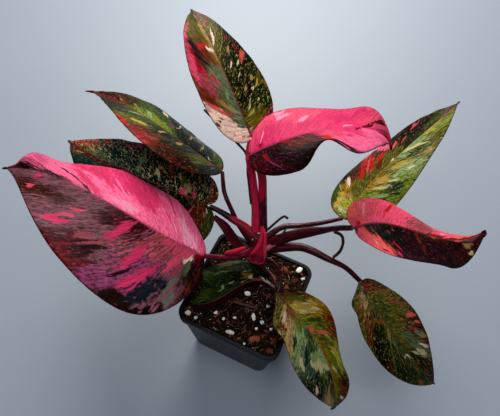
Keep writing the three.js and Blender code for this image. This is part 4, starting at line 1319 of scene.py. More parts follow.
# A midrib is a cubic Bezier's four points, and a pair is for the left and the right half. In
# degrees: roll at the base, at the tip and what the middle has besides, fold at the base and at
# the tip, and curl. A ruffle is (side, lift, spread, place, reach), where side 1 is the left.
# In ground, a colour lies at (share from notch to tip, place across: 1 the left margin, 0 the
# midrib, -1 the right margin). In splashes the half length and half width follow, then a slant.
LEAVES = {
    "front_left": dict(
        midrib=((-33, -11, 151), (-75, -26, 191), (-130, -11, 204), (-185, -24, 184)),
        half_width=(59, 47), roll=(1, -10, -11), fold=((-9, -3), (-10, -11)), curl=(13, -16),
        lobe=0.03, widest=0.32, taper=0.91,
        ruffles=((-1, 10, 0, 0.88, 0.06), (-1, 1, 4, 0.59, 0.14), (1, 3, 6, 0.19, 0.14)),
        # Painted reflection: on the left half the grey mauve, mauve and slate ground stands mostly for a
        # pale sheen of sky over dark maroon.
        ground=(
            ("dark maroon", 0.05, 0.5), ("dark brown", 0.1, 0.8), ("brown", 0.18, 0.7),
            ("dark maroon", 0.2, 0.35), ("wine", 0.15, 0.12), ("grey mauve", 0.3, 0.72),
            ("dark brown", 0.34, 0.93), ("slate", 0.36, 0.7), ("mauve", 0.44, 0.5),
            ("mauve", 0.43, 0.8), ("grey mauve", 0.35, 0.3), ("dusty rose", 0.42, 0.1),
            ("grey mauve", 0.5, 0.6), ("maroon", 0.56, 0.85), ("grey mauve", 0.6, 0.5),
            ("maroon", 0.62, 0.25), ("brown", 0.78, 0.7), ("grey mauve", 0.73, 0.4),
            ("grey mauve", 0.68, 0.85),
            ("grey mauve", 0.9, 0.5), ("wine", 0.55, 0.97),
            ("rose", 0.06, -0.3), ("hot pink", 0.2, -0.4), ("pale pink", 0.3, -0.25),
            ("hot pink", 0.33, -0.7), ("hot pink", 0.45, -0.25), ("magenta", 0.52, -0.65),
            ("hot pink", 0.62, -0.25), ("magenta", 0.66, -0.8), ("hot pink", 0.71, -0.45),
            ("hot pink", 0.82, -0.7), ("brown", 0.93, -0.4), ("mauve", 0.98, -0.3)),
        splashes=(
            # Painted reflection: the grey and slate splashes on the left half stand for patches of sky
            # sheen.
            ("grey", 0.28, 0.8, 0.022, 0.12), ("grey", 0.31, 0.55, 0.02, 0.16),
            ("dusty rose", 0.295, 0.68, 0.008, 0.14), ("sage", 0.27, 0.33, 0.022, 0.12),
            ("blush", 0.3, 0.16, 0.04, 0.06), ("dusty rose", 0.33, 0.36, 0.012, 0.12),
            ("slate", 0.362, 0.68, 0.018, 0.25),
            ("rust", 0.14, 0.6, 0.012, 0.2), ("rust", 0.2, 0.8, 0.01, 0.12),
            ("magenta", 0.41, 0.6, 0.022, 0.24), ("rose", 0.37, 0.24, 0.024, 0.14),
            ("crimson", 0.2, 0.05, 0.07, 0.04), ("rose", 0.33, 0.06, 0.1, 0.06),
            ("rose", 0.46, 0.05, 0.04, 0.05), ("magenta", 0.497, 0.42, 0.018, 0.22, -0.14),
            ("dusty rose", 0.53, 0.2, 0.008, 0.12), ("magenta", 0.612, 0.3, 0.018, 0.24, -0.1),
            ("magenta", 0.665, 0.83, 0.018, 0.1), ("dusty rose", 0.6, 0.7, 0.01, 0.1),
            ("rose", 0.68, 0.7, 0.009, 0.08), ("rose", 0.7, 0.55, 0.007, 0.08),
            ("dusty rose", 0.57, 0.68, 0.008, 0.14), ("rose", 0.82, 0.85, 0.014, 0.06),
            ("magenta", 0.89, 0.42, 0.009, 0.2, -0.1), ("dark maroon", 0.455, 0.63, 0.006, 0.14),
            ("dark brown", 0.1, 0.35, 0.05, 0.2), ("dark brown", 0.55, 0.7, 0.014, 0.12),
            ("dark brown", 0.39, 0.93, 0.014, 0.08), ("pale pink", 0.66, -0.2, 0.05, 0.1),
            ("magenta", 0.55, -0.65, 0.045, 0.18), ("magenta", 0.68, -0.8, 0.03, 0.13),
            ("magenta", 0.755, -0.4, 0.02, 0.45), ("dark brown", 0.79, -0.35, 0.009, 0.5, -0.02),
            ("hot pink", 0.825, -0.5, 0.014, 0.45), ("slate", 0.87, -0.28, 0.018, 0.48),
            ("hot pink", 0.85, -0.82, 0.012, 0.08), ("black green", 0.93, -0.7, 0.024, 0.24),
            ("magenta", 0.3, -0.03, 0.14, 0.02), ("shell pink", 0.33, -0.45, 0.007, 0.3),
            ("shell pink", 0.24, -0.35, 0.005, 0.25), ("shell pink", 0.42, -0.3, 0.005, 0.2),
            ("magenta", 0.16, -0.6, 0.008, 0.3), ("magenta", 0.38, -0.7, 0.008, 0.24)),
        flecks=(("dusty rose", 0.3), ("pale pink", 0.1))),
    "middle_left": dict(
        midrib=((-55, 36, 139), (-85, 25, 158), (-161, 27, 155), (-202, 48, 126)),
        half_width=(51, 48), roll=(-4, 9, -8), fold=((-9, -16), (14, 15)), curl=(-21, -56),
        lobe=0.11, widest=0.27, taper=0.84, thread=6,
        ground=(
            ("maroon", 0.1, 0.3), ("green", 0.13, 0.65), ("rust", 0.27, 0.3),
            ("black green", 0.4, 0.3), ("black green", 0.6, 0.4), ("teal", 0.85, 0.7),
            ("wine", 0.95, 0.5), ("maroon", 0.06, -0.3), ("rust", 0.11, -0.6),
            ("black green", 0.3, -0.3), ("dark brown", 0.25, -0.75), ("black green", 0.5, -0.3),
            ("black green", 0.5, -0.75), ("black green", 0.63, -0.4), ("teal", 0.75, -0.4),
            ("sea green", 0.84, -0.35), ("olive", 0.9, -0.3), ("crimson", 0.93, -0.75),
            ("maroon", 0.98, -0.2)),
        splashes=(
            ("blush", 0.15, 0.35, 0.02, 0.1), ("tan", 0.2, 0.35, 0.015, 0.1),
            ("rust", 0.29, 0.25, 0.04, 0.16), ("orange", 0.3, 0.2, 0.014, 0.12),
            ("rose", 0.35, 0.2, 0.01, 0.1), ("rose", 0.38, -0.05, 0.02, 0.05),
            ("rose", 0.49, -0.06, 0.02, 0.06), ("tan", 0.9, 0.5, 0.01, 0.2),
            ("rust", 0.12, -0.5, 0.035, 0.24), ("orange", 0.11, -0.45, 0.012, 0.14),
            ("rose", 0.2, -0.75, 0.01, 0.14), ("tan", 0.44, -0.16, 0.03, 0.1),
            ("olive", 0.47, -0.26, 0.03, 0.12), ("straw", 0.49, -0.3, 0.01, 0.08),
            ("rose", 0.47, -0.02, 0.05, 0.03), ("scarlet", 0.54, -0.5, 0.012, 0.24),
            ("orange", 0.585, -0.45, 0.007, 0.1), ("rose", 0.685, -0.78, 0.01, 0.07),
            ("magenta", 0.645, -0.86, 0.016, 0.07), ("ash green", 0.66, -0.5, 0.011, 0.36, 0.12),
            ("dusty rose", 0.74, -0.05, 0.02, 0.05), ("teal", 0.76, -0.5, 0.035, 0.26),
            ("olive", 0.83, -0.4, 0.01, 0.3), ("tan", 0.86, -0.5, 0.008, 0.2),
            ("green", 0.89, -0.35, 0.012, 0.25), ("crimson", 0.945, -0.3, 0.016, 0.4),
            ("cream", 0.5, -0.68, 0.008, 0.08), ("cream", 0.56, -0.72, 0.007, 0.07),
            ("straw", 0.34, -0.5, 0.006, 0.1), ("cream", 0.4, -0.45, 0.005, 0.07),
            ("straw", 0.44, -0.62, 0.006, 0.08), ("cream", 0.61, -0.3, 0.006, 0.08),
            ("ash green", 0.28, -0.35, 0.008, 0.14)),
        flecks=(("tan", 0.6), ("cream", 0.9))),
    "upper_left": dict(
        midrib=((-56, 66, 148), (-105, 67, 169), (-156, 87, 166), (-202, 90, 151)),
        half_width=(44, 45), roll=(-22, -5, -14), fold=((19, 26), (-6, 9)), curl=(-25, -36),
        lobe=0.01, widest=0.28, taper=0.82, thread=6,
        ground=(
            # Painted reflection: the teal ground near the base of the left half stands for a grey sheen.
            ("brown", 0.08, 0.4), ("dark maroon", 0.18, 0.2), ("teal", 0.25, 0.35),
            ("olive", 0.36, 0.3), ("deep green", 0.47, 0.3), ("brown", 0.4, 0.7),
            ("rust", 0.48, 0.88), ("deep green", 0.58, 0.4), ("olive", 0.61, 0.7),
            ("deep green", 0.7, 0.8), ("green", 0.76, 0.3), ("brown", 0.84, 0.6),
            ("dark maroon", 0.91, 0.3), ("crimson", 0.97, 0.2),
            ("brown", 0.08, -0.4), ("olive", 0.15, -0.3), ("green", 0.27, -0.4),
            ("deep green", 0.38, -0.4), ("black green", 0.5, -0.35), ("black green", 0.58, -0.7),
            ("green", 0.68, -0.6), ("lime green", 0.74, -0.3), ("brown", 0.83, -0.6),
            ("dark maroon", 0.91, -0.4), ("crimson", 0.97, -0.3)),
        splashes=(
            # Painted reflection: the grey and ash green splashes at 0.25, 0.3, at 0.35, 0.4, at 0.43, -0.75
            # and at 0.22, -0.85 stand for grey sheen and highlights.
            ("dusty rose", 0.3, 0.06, 0.03, 0.07), ("grey", 0.25, 0.3, 0.018, 0.14),
            ("ash green", 0.35, 0.4, 0.012, 0.16), ("scarlet", 0.46, 0.96, 0.03, 0.04),
            ("scarlet", 0.58, 0.96, 0.04, 0.04), ("crimson", 0.5, 0.91, 0.06, 0.05),
            ("tan", 0.53, 0.2, 0.01, 0.13, -0.1), ("straw", 0.62, 0.65, 0.014, 0.14),
            ("straw", 0.6, 0.35, 0.008, 0.1, -0.15), ("dusty rose", 0.5, 0.76, 0.012, 0.12),
            ("rust", 0.55, 0.75, 0.02, 0.12), ("pale green", 0.735, 0.4, 0.009, 0.36, -0.09),
            ("rust", 0.85, 0.4, 0.012, 0.35), ("tan", 0.855, 0.2, 0.006, 0.2),
            ("cream", 0.35, -0.08, 0.02, 0.03), ("tan", 0.42, -0.35, 0.008, 0.2, 0.12),
            ("tan", 0.5, -0.45, 0.007, 0.22, 0.14), ("ash green", 0.43, -0.75, 0.026, 0.18),
            ("ash green", 0.22, -0.85, 0.025, 0.1), ("cream", 0.57, -0.55, 0.007, 0.13, 0.2),
            ("cream", 0.63, -0.8, 0.008, 0.1), ("mauve", 0.62, -0.4, 0.01, 0.1),
            ("rust", 0.85, -0.5, 0.012, 0.4), ("tan", 0.86, -0.4, 0.006, 0.2),
            ("pale green", 0.74, -0.28, 0.012, 0.2), ("sage", 0.3, -0.5, 0.012, 0.2)),
        flecks=(("tan", 0.2), ("ash green", 0.3))),
    "top": dict(
        midrib=((-37, 78, 189), (-61, 95, 213), (-103, 130, 234), (-128, 156, 218)),
        half_width=(39, 38), roll=(-19, -2, -16), fold=((12, 12), (9, 9)), curl=(-7, -12),
        lobe=0.04, widest=0.3, taper=0.82,
        ground=(
            ("crimson", 0.03, 0.3), ("blush", 0.09, 0.6), ("blush", 0.17, 0.5),
            ("blush", 0.26, 0.7), ("blush", 0.31, 0.4), ("coral", 0.1, 0.2), ("blush", 0.24, 0.16),
            ("blush", 0.34, 0.75), ("blush", 0.34, 0.5), ("rust", 0.41, 0.8),
            ("sage", 0.35, 0.15), ("olive", 0.45, 0.5),
            ("sage", 0.52, 0.25), ("dusty rose", 0.5, 0.75), ("crimson", 0.54, 0.93),
            ("dark brown", 0.65, 0.8), ("sage", 0.58, 0.5), ("olive", 0.7, 0.88),
            ("rust", 0.7, 0.6), ("olive", 0.78, 0.55), ("tan", 0.84, 0.35),
            ("green", 0.9, 0.5), ("grey mauve", 0.97, 0.3),
            ("crimson", 0.06, -0.15), ("magenta", 0.1, -0.5), ("magenta", 0.2, -0.7),
            ("hot pink", 0.17, -0.35), ("deep green", 0.36, -0.75), ("gold", 0.29, -0.35),
            ("olive", 0.38, -0.12), ("deep green", 0.42, -0.45), ("black green", 0.52, -0.4),
            ("deep green", 0.5, -0.75), ("black green", 0.62, -0.7), ("deep green", 0.7, -0.45),
            ("olive", 0.84, -0.4), ("grey mauve", 0.95, -0.5)),
        splashes=(
            ("brown", 0.24, 0.63, 0.006, 0.03), ("brown", 0.33, 0.82, 0.008, 0.05),
            ("rust", 0.3, 0.93, 0.012, 0.05), ("coral", 0.2, 0.38, 0.02, 0.08),
            ("blush", 0.33, 0.55, 0.03, 0.3), ("coral", 0.385, 0.6, 0.01, 0.26),
            ("rust", 0.405, 0.7, 0.012, 0.2), ("dusty rose", 0.4, 0.4, 0.01, 0.16),
            ("tan", 0.45, 0.35, 0.016, 0.2),
            ("rose", 0.52, 0.93, 0.07, 0.08), ("crimson", 0.57, 0.85, 0.04, 0.06),
            ("rose", 0.68, 0.97, 0.08, 0.04), ("pale green", 0.54, 0.27, 0.03, 0.05),
            ("dusty rose", 0.47, 0.62, 0.01, 0.14), ("dark brown", 0.65, 0.8, 0.022, 0.1),
            ("scarlet", 0.72, 0.58, 0.018, 0.16, -0.3), ("blush", 0.75, 0.3, 0.01, 0.2, -0.1),
            ("tan", 0.83, 0.36, 0.035, 0.09), ("cream", 0.81, 0.05, 0.03, 0.03),
            ("pale green", 0.45, 0.2, 0.008, 0.14), ("hot pink", 0.16, -0.5, 0.07, 0.4),
            ("crimson", 0.1, -0.45, 0.012, 0.3), ("crimson", 0.2, -0.65, 0.01, 0.3),
            ("magenta", 0.15, -0.75, 0.06, 0.2), ("shell pink", 0.28, -0.08, 0.02, 0.05),
            ("gold", 0.31, -0.3, 0.045, 0.16), ("gold", 0.33, -0.6, 0.016, 0.1),
            ("cream", 0.45, -0.3, 0.012, 0.1, -0.2), ("straw", 0.4, -0.2, 0.01, 0.1),
            ("tan", 0.54, -0.42, 0.012, 0.06), ("cream", 0.42, -0.55, 0.006, 0.06),
            ("cream", 0.49, -0.55, 0.007, 0.06), ("straw", 0.52, -0.68, 0.012, 0.06),
            ("straw", 0.48, -0.75, 0.008, 0.08), ("olive", 0.48, -0.86, 0.02, 0.1),
            ("cream", 0.6, -0.45, 0.006, 0.07), ("blush", 0.67, -0.4, 0.007, 0.08),
            ("cream", 0.63, -0.63, 0.007, 0.07), ("tan", 0.7, -0.6, 0.008, 0.08),
            ("coral", 0.615, -0.83, 0.016, 0.1), ("rust", 0.66, -0.88, 0.02, 0.06),
            ("rust", 0.72, -0.86, 0.02, 0.06), ("blush", 0.81, -0.35, 0.01, 0.26, -0.06),
            ("dusty rose", 0.86, -0.6, 0.015, 0.2), ("gold", 0.42, -0.93, 0.04, 0.04)),
        flecks=(("rust", 0.2), ("straw", 0.55))),
    "upper_right": dict(
        midrib=((-29, 57, 195), (-1, 70, 224), (47, 119, 220), (64, 129, 174)),
        half_width=(40, 37), roll=(8, -12, 25), fold=((9, 0), (5, -6)), curl=(-6, -33),
        lobe=0.01, widest=0.3, taper=0.83,
        ruffles=((-1, 10, -19, 0.4, 0.08), (-1, -3, -10, 0.29, 0.17), (1, 8, 9, 0.81, 0.12)),
        ground=(
            ("maroon", 0.03, 0.3), ("rose", 0.1, 0.6), ("rose", 0.2, 0.4), ("magenta", 0.3, 0.2),
            ("rose", 0.3, 0.7), ("magenta", 0.4, 0.5), ("magenta", 0.55, 0.3),
            ("rose", 0.52, 0.7), ("magenta", 0.66, 0.8), ("magenta", 0.7, 0.4),
            ("magenta", 0.8, 0.2), ("rose", 0.9, 0.6), ("crimson", 0.97, 0.4),
            ("maroon", 0.08, -0.4), ("dark maroon", 0.2, -0.2), ("maroon", 0.27, -0.6),
            ("dark maroon", 0.42, -0.25), ("dark brown", 0.5, -0.65), ("brown", 0.54, -0.25),
            ("magenta", 0.72, -0.35), ("hot pink", 0.85, -0.5), ("hot pink", 0.7, -0.85),
            ("crimson", 0.97, -0.4)),
        splashes=(
            # Painted highlight: the pale pink splashes at 0.38, 0.9 and 0.42, 0.74 stand for a lilac sheen.
            ("magenta", 0.15, 0.8, 0.01, 0.16), ("pale pink", 0.38, 0.9, 0.03, 0.08),
            ("pale pink", 0.42, 0.74, 0.04, 0.09), ("pale pink", 0.55, 0.6, 0.015, 0.13),
            ("magenta", 0.43, 0.4, 0.05, 0.08), ("magenta", 0.6, 0.4, 0.04, 0.2),
            ("magenta", 0.22, 0.75, 0.007, 0.3), ("magenta", 0.31, 0.6, 0.006, 0.3),
            ("magenta", 0.5, 0.45, 0.007, 0.35), ("magenta", 0.65, 0.3, 0.007, 0.25),
            ("magenta", 0.7, 0.65, 0.06, 0.14), ("magenta", 0.75, 0.75, 0.014, 0.22),
            ("pale pink", 0.78, 0.15, 0.014, 0.1), ("magenta", 0.25, 0.35, 0.012, 0.25),
            ("pale pink", 0.33, 0.35, 0.007, 0.2), ("crimson", 0.34, 0.15, 0.03, 0.08),
            ("dark maroon", 0.865, 0.78, 0.012, 0.2, 0.13), ("dark maroon", 0.845, 0.35, 0.012, 0.3),
            ("dark maroon", 0.815, -0.12, 0.012, 0.2, 0.15), ("mauve", 0.9, 0.55, 0.009, 0.2, 0.1),
            ("rust", 0.54, -0.26, 0.03, 0.13), ("crimson", 0.53, -0.07, 0.02, 0.06),
            ("crimson", 0.35, -0.3, 0.012, 0.14), ("mauve", 0.35, -0.55, 0.006, 0.25),
            ("rust", 0.22, -0.6, 0.008, 0.25), ("wine", 0.28, -0.45, 0.01, 0.3),
            ("black green", 0.55, -0.6, 0.02, 0.2), ("scarlet", 0.585, -0.62, 0.02, 0.34, 0.25),
            ("rose", 0.68, -0.3, 0.03, 0.2)),
        flecks=(("magenta", 0.2), ("dusty rose", 0.3))),
    "right": dict(
        midrib=((51, 83, 124), (63, 140, 141), (91, 170, 171), (103, 200, 178)),
        half_width=(38, 31), roll=(14, 2, 13), fold=((-10, -10), (9, 4)), curl=(-23, -20),
        lobe=0.01, widest=0.24, taper=0.88,
        ground=(
            ("brown", 0.05, 0.4), ("olive", 0.13, 0.4), ("pale green", 0.22, 0.3),
            ("straw", 0.28, 0.5), ("lime", 0.3, 0.25), ("green", 0.3, 0.78), ("gold", 0.38, 0.4),
            ("brown", 0.43, 0.78), ("olive", 0.45, 0.25), ("rust", 0.5, 0.6),
            ("dark maroon", 0.65, 0.75), ("olive", 0.62, 0.3), ("olive", 0.5, 0.1),
            ("dark brown", 0.75, 0.6), ("deep green", 0.8, 0.25), ("green", 0.86, 0.45),
            ("grey mauve", 0.94, 0.4), ("olive", 0.1, -0.4), ("lime", 0.2, -0.4),
            ("lime green", 0.3, -0.5), ("lime green", 0.42, -0.3), ("green", 0.46, -0.6),
            ("lime green", 0.43, -0.9), ("gold", 0.55, -0.08), ("olive", 0.6, -0.3),
            ("pale green", 0.58, -0.58), ("green", 0.68, -0.5), ("olive", 0.7, -0.75),
            ("pale green", 0.75, -0.3), ("lime green", 0.82, -0.45), ("lime", 0.87, -0.3),
            ("olive", 0.91, -0.3), ("grey mauve", 0.97, -0.3)),
        splashes=(
            ("cream", 0.13, 0.45, 0.015, 0.15), ("cream", 0.23, 0.32, 0.02, 0.11),
            ("lime", 0.28, 0.24, 0.016, 0.1), ("straw", 0.34, 0.42, 0.02, 0.16),
            ("lime", 0.32, 0.62, 0.012, 0.16), ("straw", 0.35, 0.76, 0.008, 0.14),
            ("blush", 0.4, 0.6, 0.016, 0.16), ("tan", 0.38, 0.24, 0.014, 0.1),
            ("scarlet", 0.5, 0.8, 0.02, 0.2), ("scarlet", 0.495, 0.5, 0.01, 0.2),
            ("coral", 0.525, 0.55, 0.008, 0.22), ("scarlet", 0.55, 0.5, 0.014, 0.22),
            ("hot pink", 0.585, 0.8, 0.02, 0.26, -0.24), ("scarlet", 0.6, 0.5, 0.016, 0.14),
            ("coral", 0.66, 0.6, 0.01, 0.08), ("coral", 0.71, 0.55, 0.009, 0.08),
            ("rose", 0.73, 0.85, 0.014, 0.08), ("blush", 0.68, 0.06, 0.008, 0.05),
            ("rust", 0.6, 0.32, 0.016, 0.16), ("black green", 0.38, 0.86, 0.02, 0.12),
            ("teal", 0.48, -0.72, 0.025, 0.1), ("lime green", 0.44, -0.9, 0.02, 0.08),
            ("cream", 0.49, -0.3, 0.008, 0.3), ("straw", 0.55, -0.25, 0.03, 0.16),
            ("straw", 0.63, -0.4, 0.025, 0.2), ("cream", 0.53, -0.5, 0.008, 0.16),
            ("blush", 0.59, -0.72, 0.01, 0.09), ("tan", 0.66, -0.86, 0.02, 0.09),
            ("cream", 0.74, -0.3, 0.014, 0.3), ("pale green", 0.77, -0.35, 0.016, 0.3),
            ("pale green", 0.43, -0.45, 0.012, 0.2), ("teal", 0.44, -0.8, 0.01, 0.08),
            ("straw", 0.84, -0.3, 0.01, 0.2)),
        flecks=(("straw", 0.2), ("cream", 0.3))),
    "right_front": dict(
        midrib=((61, 51, 168), (85, 76, 176), (133, 67, 146), (157, 109, 143)),
        half_width=(34, 36), roll=(9, 28, -8), fold=((0, -11), (8, -3)), curl=(-28, 14),
        lobe=0.04, widest=0.24, taper=0.81,
        ruffles=((-1, -12, 5, 0.77, 0.19), (1, 4, -4, 0.16, 0.15)),
        ground=(
            ("coral", 0.03, 0.4), ("coral", 0.1, 0.75), ("rose", 0.17, 0.25),
            ("coral", 0.25, 0.65), ("coral", 0.33, 0.45), ("rose", 0.33, 0.8), ("rose", 0.42, 0.4),
            ("rose", 0.55, 0.4), ("rose", 0.5, 0.8), ("dusty rose", 0.68, 0.6),
            ("rose", 0.8, 0.65), ("coral", 0.88, 0.7), ("rust", 0.88, 0.2), ("brown", 0.94, 0.4),
            ("maroon", 0.05, -0.3), ("rose", 0.2, -0.5), ("coral", 0.3, -0.6),
            ("black green", 0.42, -0.2), ("black green", 0.5, -0.4), ("dark maroon", 0.5, -0.8),
            ("dark maroon", 0.62, -0.5), ("dark maroon", 0.7, -0.4), ("brown", 0.78, -0.1),
            ("dark brown", 0.84, -0.5), ("brown", 0.9, -0.75), ("grey mauve", 0.98, -0.4)),
        splashes=(
            ("coral", 0.14, 0.5, 0.03, 0.3), ("scarlet", 0.1, 0.12, 0.07, 0.09),
            ("scarlet", 0.22, 0.1, 0.05, 0.08), ("coral", 0.29, 0.6, 0.02, 0.25),
            ("coral", 0.42, 0.5, 0.02, 0.3), ("pale pink", 0.34, 0.5, 0.01, 0.25),
            ("scarlet", 0.5, 0.6, 0.012, 0.3),
            ("dusty rose", 0.72, 0.45, 0.05, 0.25), ("pale pink", 0.8, 0.65, 0.01, 0.2),
            ("coral", 0.89, 0.5, 0.012, 0.2), ("rust", 0.9, 0.18, 0.03, 0.14),
            # Painted shade: the black green splash along the midrib near the base is shade in the crease.
            ("black green", 0.2, -0.05, 0.1, 0.04),
            ("coral", 0.24, -0.5, 0.11, 0.42, -0.15), ("rose", 0.17, -0.5, 0.03, 0.3),
            ("shell pink", 0.3, -0.6, 0.01, 0.22), ("magenta", 0.12, -0.5, 0.012, 0.25),
            ("dark maroon", 0.33, -0.9, 0.02, 0.05), ("magenta", 0.42, -0.87, 0.014, 0.05),
            ("dusty rose", 0.55, -0.15, 0.006, 0.05), ("dusty rose", 0.5, -0.3, 0.005, 0.05),
            ("rust", 0.67, -0.38, 0.007, 0.36, 0.13), ("orange", 0.79, -0.08, 0.016, 0.1),
            ("coral", 0.89, -0.2, 0.018, 0.13), ("tan", 0.9, -0.65, 0.016, 0.13),
            ("cream", 0.88, -0.93, 0.016, 0.06), ("scarlet", 0.47, -0.6, 0.007, 0.14)),
        flecks=(("crimson", 0.2), ("dusty rose", 0.1))),
    "lower_right": dict(
        midrib=((84, 38, 115), (115, 12, 105), (156, -1, 88), (173, 5, 59)),
        half_width=(35, 34), roll=(41, -22, 2), fold=((10, 16), (14, 17)), curl=(-15, -29),
        lobe=0.03, widest=0.26, taper=0.83,
        ruffles=((-1, -2, 5, 0.07, 0.04), (-1, -3, -4, 0.3, 0.11)),
        ground=(
            ("maroon", 0.07, 0.4), ("brown", 0.2, 0.5), ("rust", 0.28, 0.3),
            ("olive", 0.38, 0.35), ("green", 0.48, 0.2), ("olive", 0.55, 0.45),
            # Painted highlight: the sage ground at 0.7, 0.7 stands for a whitish gloss highlight near the
            # left margin.
            ("brown", 0.62, 0.8), ("sage", 0.7, 0.7), ("olive", 0.71, 0.15),
            ("deep green", 0.8, 0.25), ("brown", 0.84, 0.6), ("deep green", 0.9, 0.2),
            ("dark brown", 0.96, 0.5), ("maroon", 0.1, -0.4), ("brown", 0.28, -0.2),
            ("tan", 0.3, -0.5), ("olive", 0.38, -0.25), ("olive", 0.24, -0.75),
            ("rust", 0.4, -0.65), ("olive", 0.42, -0.92), ("deep green", 0.5, -0.45),
            ("black green", 0.48, -0.75), ("deep green", 0.57, -0.6), ("olive", 0.62, -0.2),
            ("green", 0.68, -0.08), ("deep green", 0.74, -0.7), ("green", 0.8, -0.4),
            ("deep green", 0.88, -0.4), ("dark brown", 0.95, -0.5)),
        splashes=(
            ("crimson", 0.25, 0.08, 0.05, 0.05), ("orange", 0.35, 0.6, 0.01, 0.16),
            ("rust", 0.33, 0.9, 0.012, 0.07), ("orange", 0.42, 0.6, 0.01, 0.16),
            ("dusty rose", 0.45, 0.7, 0.01, 0.12), ("coral", 0.53, 0.8, 0.014, 0.11),
            # Partly painted highlight: the tan, dusty rose, blush, cream and ash green streaks between 0.62
            # and 0.75 on the left half are pale streaks of colour, lightened to stand for the gloss
            # highlight there.
            ("coral", 0.57, 0.88, 0.01, 0.07), ("tan", 0.65, 0.9, 0.012, 0.08),
            ("dusty rose", 0.62, 0.72, 0.008, 0.13), ("blush", 0.7, 0.8, 0.009, 0.12),
            ("cream", 0.75, 0.66, 0.024, 0.17), ("cream", 0.77, 0.35, 0.008, 0.16),
            ("ash green", 0.72, 0.5, 0.012, 0.13), ("tan", 0.25, -0.72, 0.009, 0.12),
            ("orange", 0.3, -0.86, 0.01, 0.09), ("gold", 0.5, -0.35, 0.016, 0.22, 0.3),
            ("orange", 0.39, -0.68, 0.012, 0.22, 0.34), ("orange", 0.55, -0.22, 0.01, 0.14, 0.3),
            ("gold", 0.36, -0.6, 0.01, 0.2, 0.2),
            ("ash green", 0.65, -0.4, 0.016, 0.12), ("blush", 0.755, -0.25, 0.008, 0.2, 0.24),
            ("olive", 0.82, -0.2, 0.016, 0.1), ("rust", 0.58, -0.88, 0.014, 0.09),
            ("orange", 0.8, -0.87, 0.022, 0.09), ("tan", 0.6, -0.3, 0.007, 0.12)),
        flecks=(("tan", 0.7), ("straw", 0.6))),
    "bottom": dict(
        midrib=((25, 2, 109), (78, -19, 109), (101, -43, 88), (101, -49, 53)),
        half_width=(32, 36), roll=(41, 25, -27), fold=((18, 13), (30, 24)), curl=(-21, -17),
        lobe=0.02, widest=0.28, taper=0.81,
        ruffles=((1, -1, 6, 0.89, 0.1), (-1, -4, 6, 0.11, 0.06), (1, -2, -15, 0.45, 0.2)),
        # Partly painted highlight: the ground is kept light, straw, gold, green and pale green, both for
        # the blade's yellow and cream variegation and for its strong gloss highlights.
        ground=(
            ("maroon", 0.05, 0.4), ("wine", 0.15, 0.3), ("brown", 0.2, 0.7), ("olive", 0.26, 0.3),
            ("olive", 0.33, 0.45), ("straw", 0.38, 0.3), ("gold", 0.38, 0.65), ("olive", 0.48, 0.4),
            ("lime green", 0.52, 0.2), ("rust", 0.46, 0.8), ("olive", 0.6, 0.4),
            ("lime", 0.65, 0.65), ("lime green", 0.7, 0.4), ("gold", 0.7, 0.12),
            ("brown", 0.72, 0.78), ("olive", 0.85, 0.5), ("gold", 0.89, 0.2), ("rust", 0.82, 0.87),
            ("olive", 0.96, 0.3), ("maroon", 0.08, -0.4), ("wine", 0.2, -0.3),
            ("rust", 0.32, -0.2), ("tan", 0.36, -0.55), ("olive", 0.25, -0.7),
            ("lime green", 0.48, -0.25), ("pale green", 0.48, -0.5), ("sea green", 0.55, -0.6),
            ("green", 0.6, -0.25), ("pale green", 0.68, -0.2), ("green", 0.74, -0.55),
            ("deep green", 0.65, -0.8), ("deep green", 0.8, -0.3), ("tan", 0.81, -0.88),
            ("olive", 0.88, -0.3), ("olive", 0.96, -0.3)),
        splashes=(
            ("straw", 0.38, 0.3, 0.045, 0.16), ("cream", 0.36, 0.35, 0.012, 0.13),
            ("cream", 0.4, 0.55, 0.01, 0.1), ("cream", 0.42, 0.2, 0.012, 0.08),
            ("straw", 0.35, 0.6, 0.02, 0.12), ("orange", 0.33, 0.1, 0.02, 0.06),
            ("rust", 0.44, 0.78, 0.016, 0.1), ("coral", 0.56, 0.38, 0.012, 0.16, -0.07),
            ("coral", 0.55, 0.08, 0.03, 0.05), ("cream", 0.75, 0.25, 0.012, 0.12),
            ("rust", 0.78, 0.5, 0.016, 0.12), ("blush", 0.88, 0.8, 0.014, 0.1),
            ("straw", 0.63, 0.5, 0.014, 0.16), ("lime green", 0.7, 0.4, 0.02, 0.15),
            ("green", 0.48, 0.32, 0.016, 0.16), ("straw", 0.31, -0.5, 0.02, 0.16),
            ("blush", 0.32, -0.55, 0.014, 0.16), ("rust", 0.33, -0.82, 0.024, 0.1),
            ("orange", 0.38, -0.2, 0.02, 0.1), ("coral", 0.42, -0.06, 0.04, 0.04),
            ("lilac", 0.52, -0.06, 0.02, 0.04), ("cream", 0.735, -0.18, 0.016, 0.2, 0.2),
            # Partly painted highlight: the broad cream and pale green patches on the right half are cream
            # variegation, made broad and bright to stand for gloss highlights too.
            ("cream", 0.66, -0.42, 0.034, 0.17, 0.2), ("cream", 0.6, -0.56, 0.02, 0.1, 0.3),
            ("pale green", 0.61, -0.4, 0.02, 0.16, 0.2), ("cream", 0.5, -0.82, 0.026, 0.08, 0.2),
            ("blush", 0.65, -0.92, 0.014, 0.07), ("pale green", 0.68, -0.15, 0.012, 0.12),
            ("teal", 0.53, -0.58, 0.025, 0.14), ("deep green", 0.42, -0.7, 0.02, 0.12),
            ("lime green", 0.9, -0.3, 0.018, 0.2)),
        flecks=(("straw", 0.4), ("cream", 0.35))),
    "low_left": dict(
        midrib=((22, 8, 101), (-11, 17, 112), (-7, -34, 104), (-40, -32, 99)),
        half_width=(12, 30), roll=(-18, -7, -3), fold=((-75, -70), (6, 13)), curl=(-60, -5),
        lobe=-0.08, widest=0.69, taper=0.88,
        ground=(
            ("maroon", 0.1, 0.3), ("dark maroon", 0.4, 0.4), ("maroon", 0.7, 0.4),
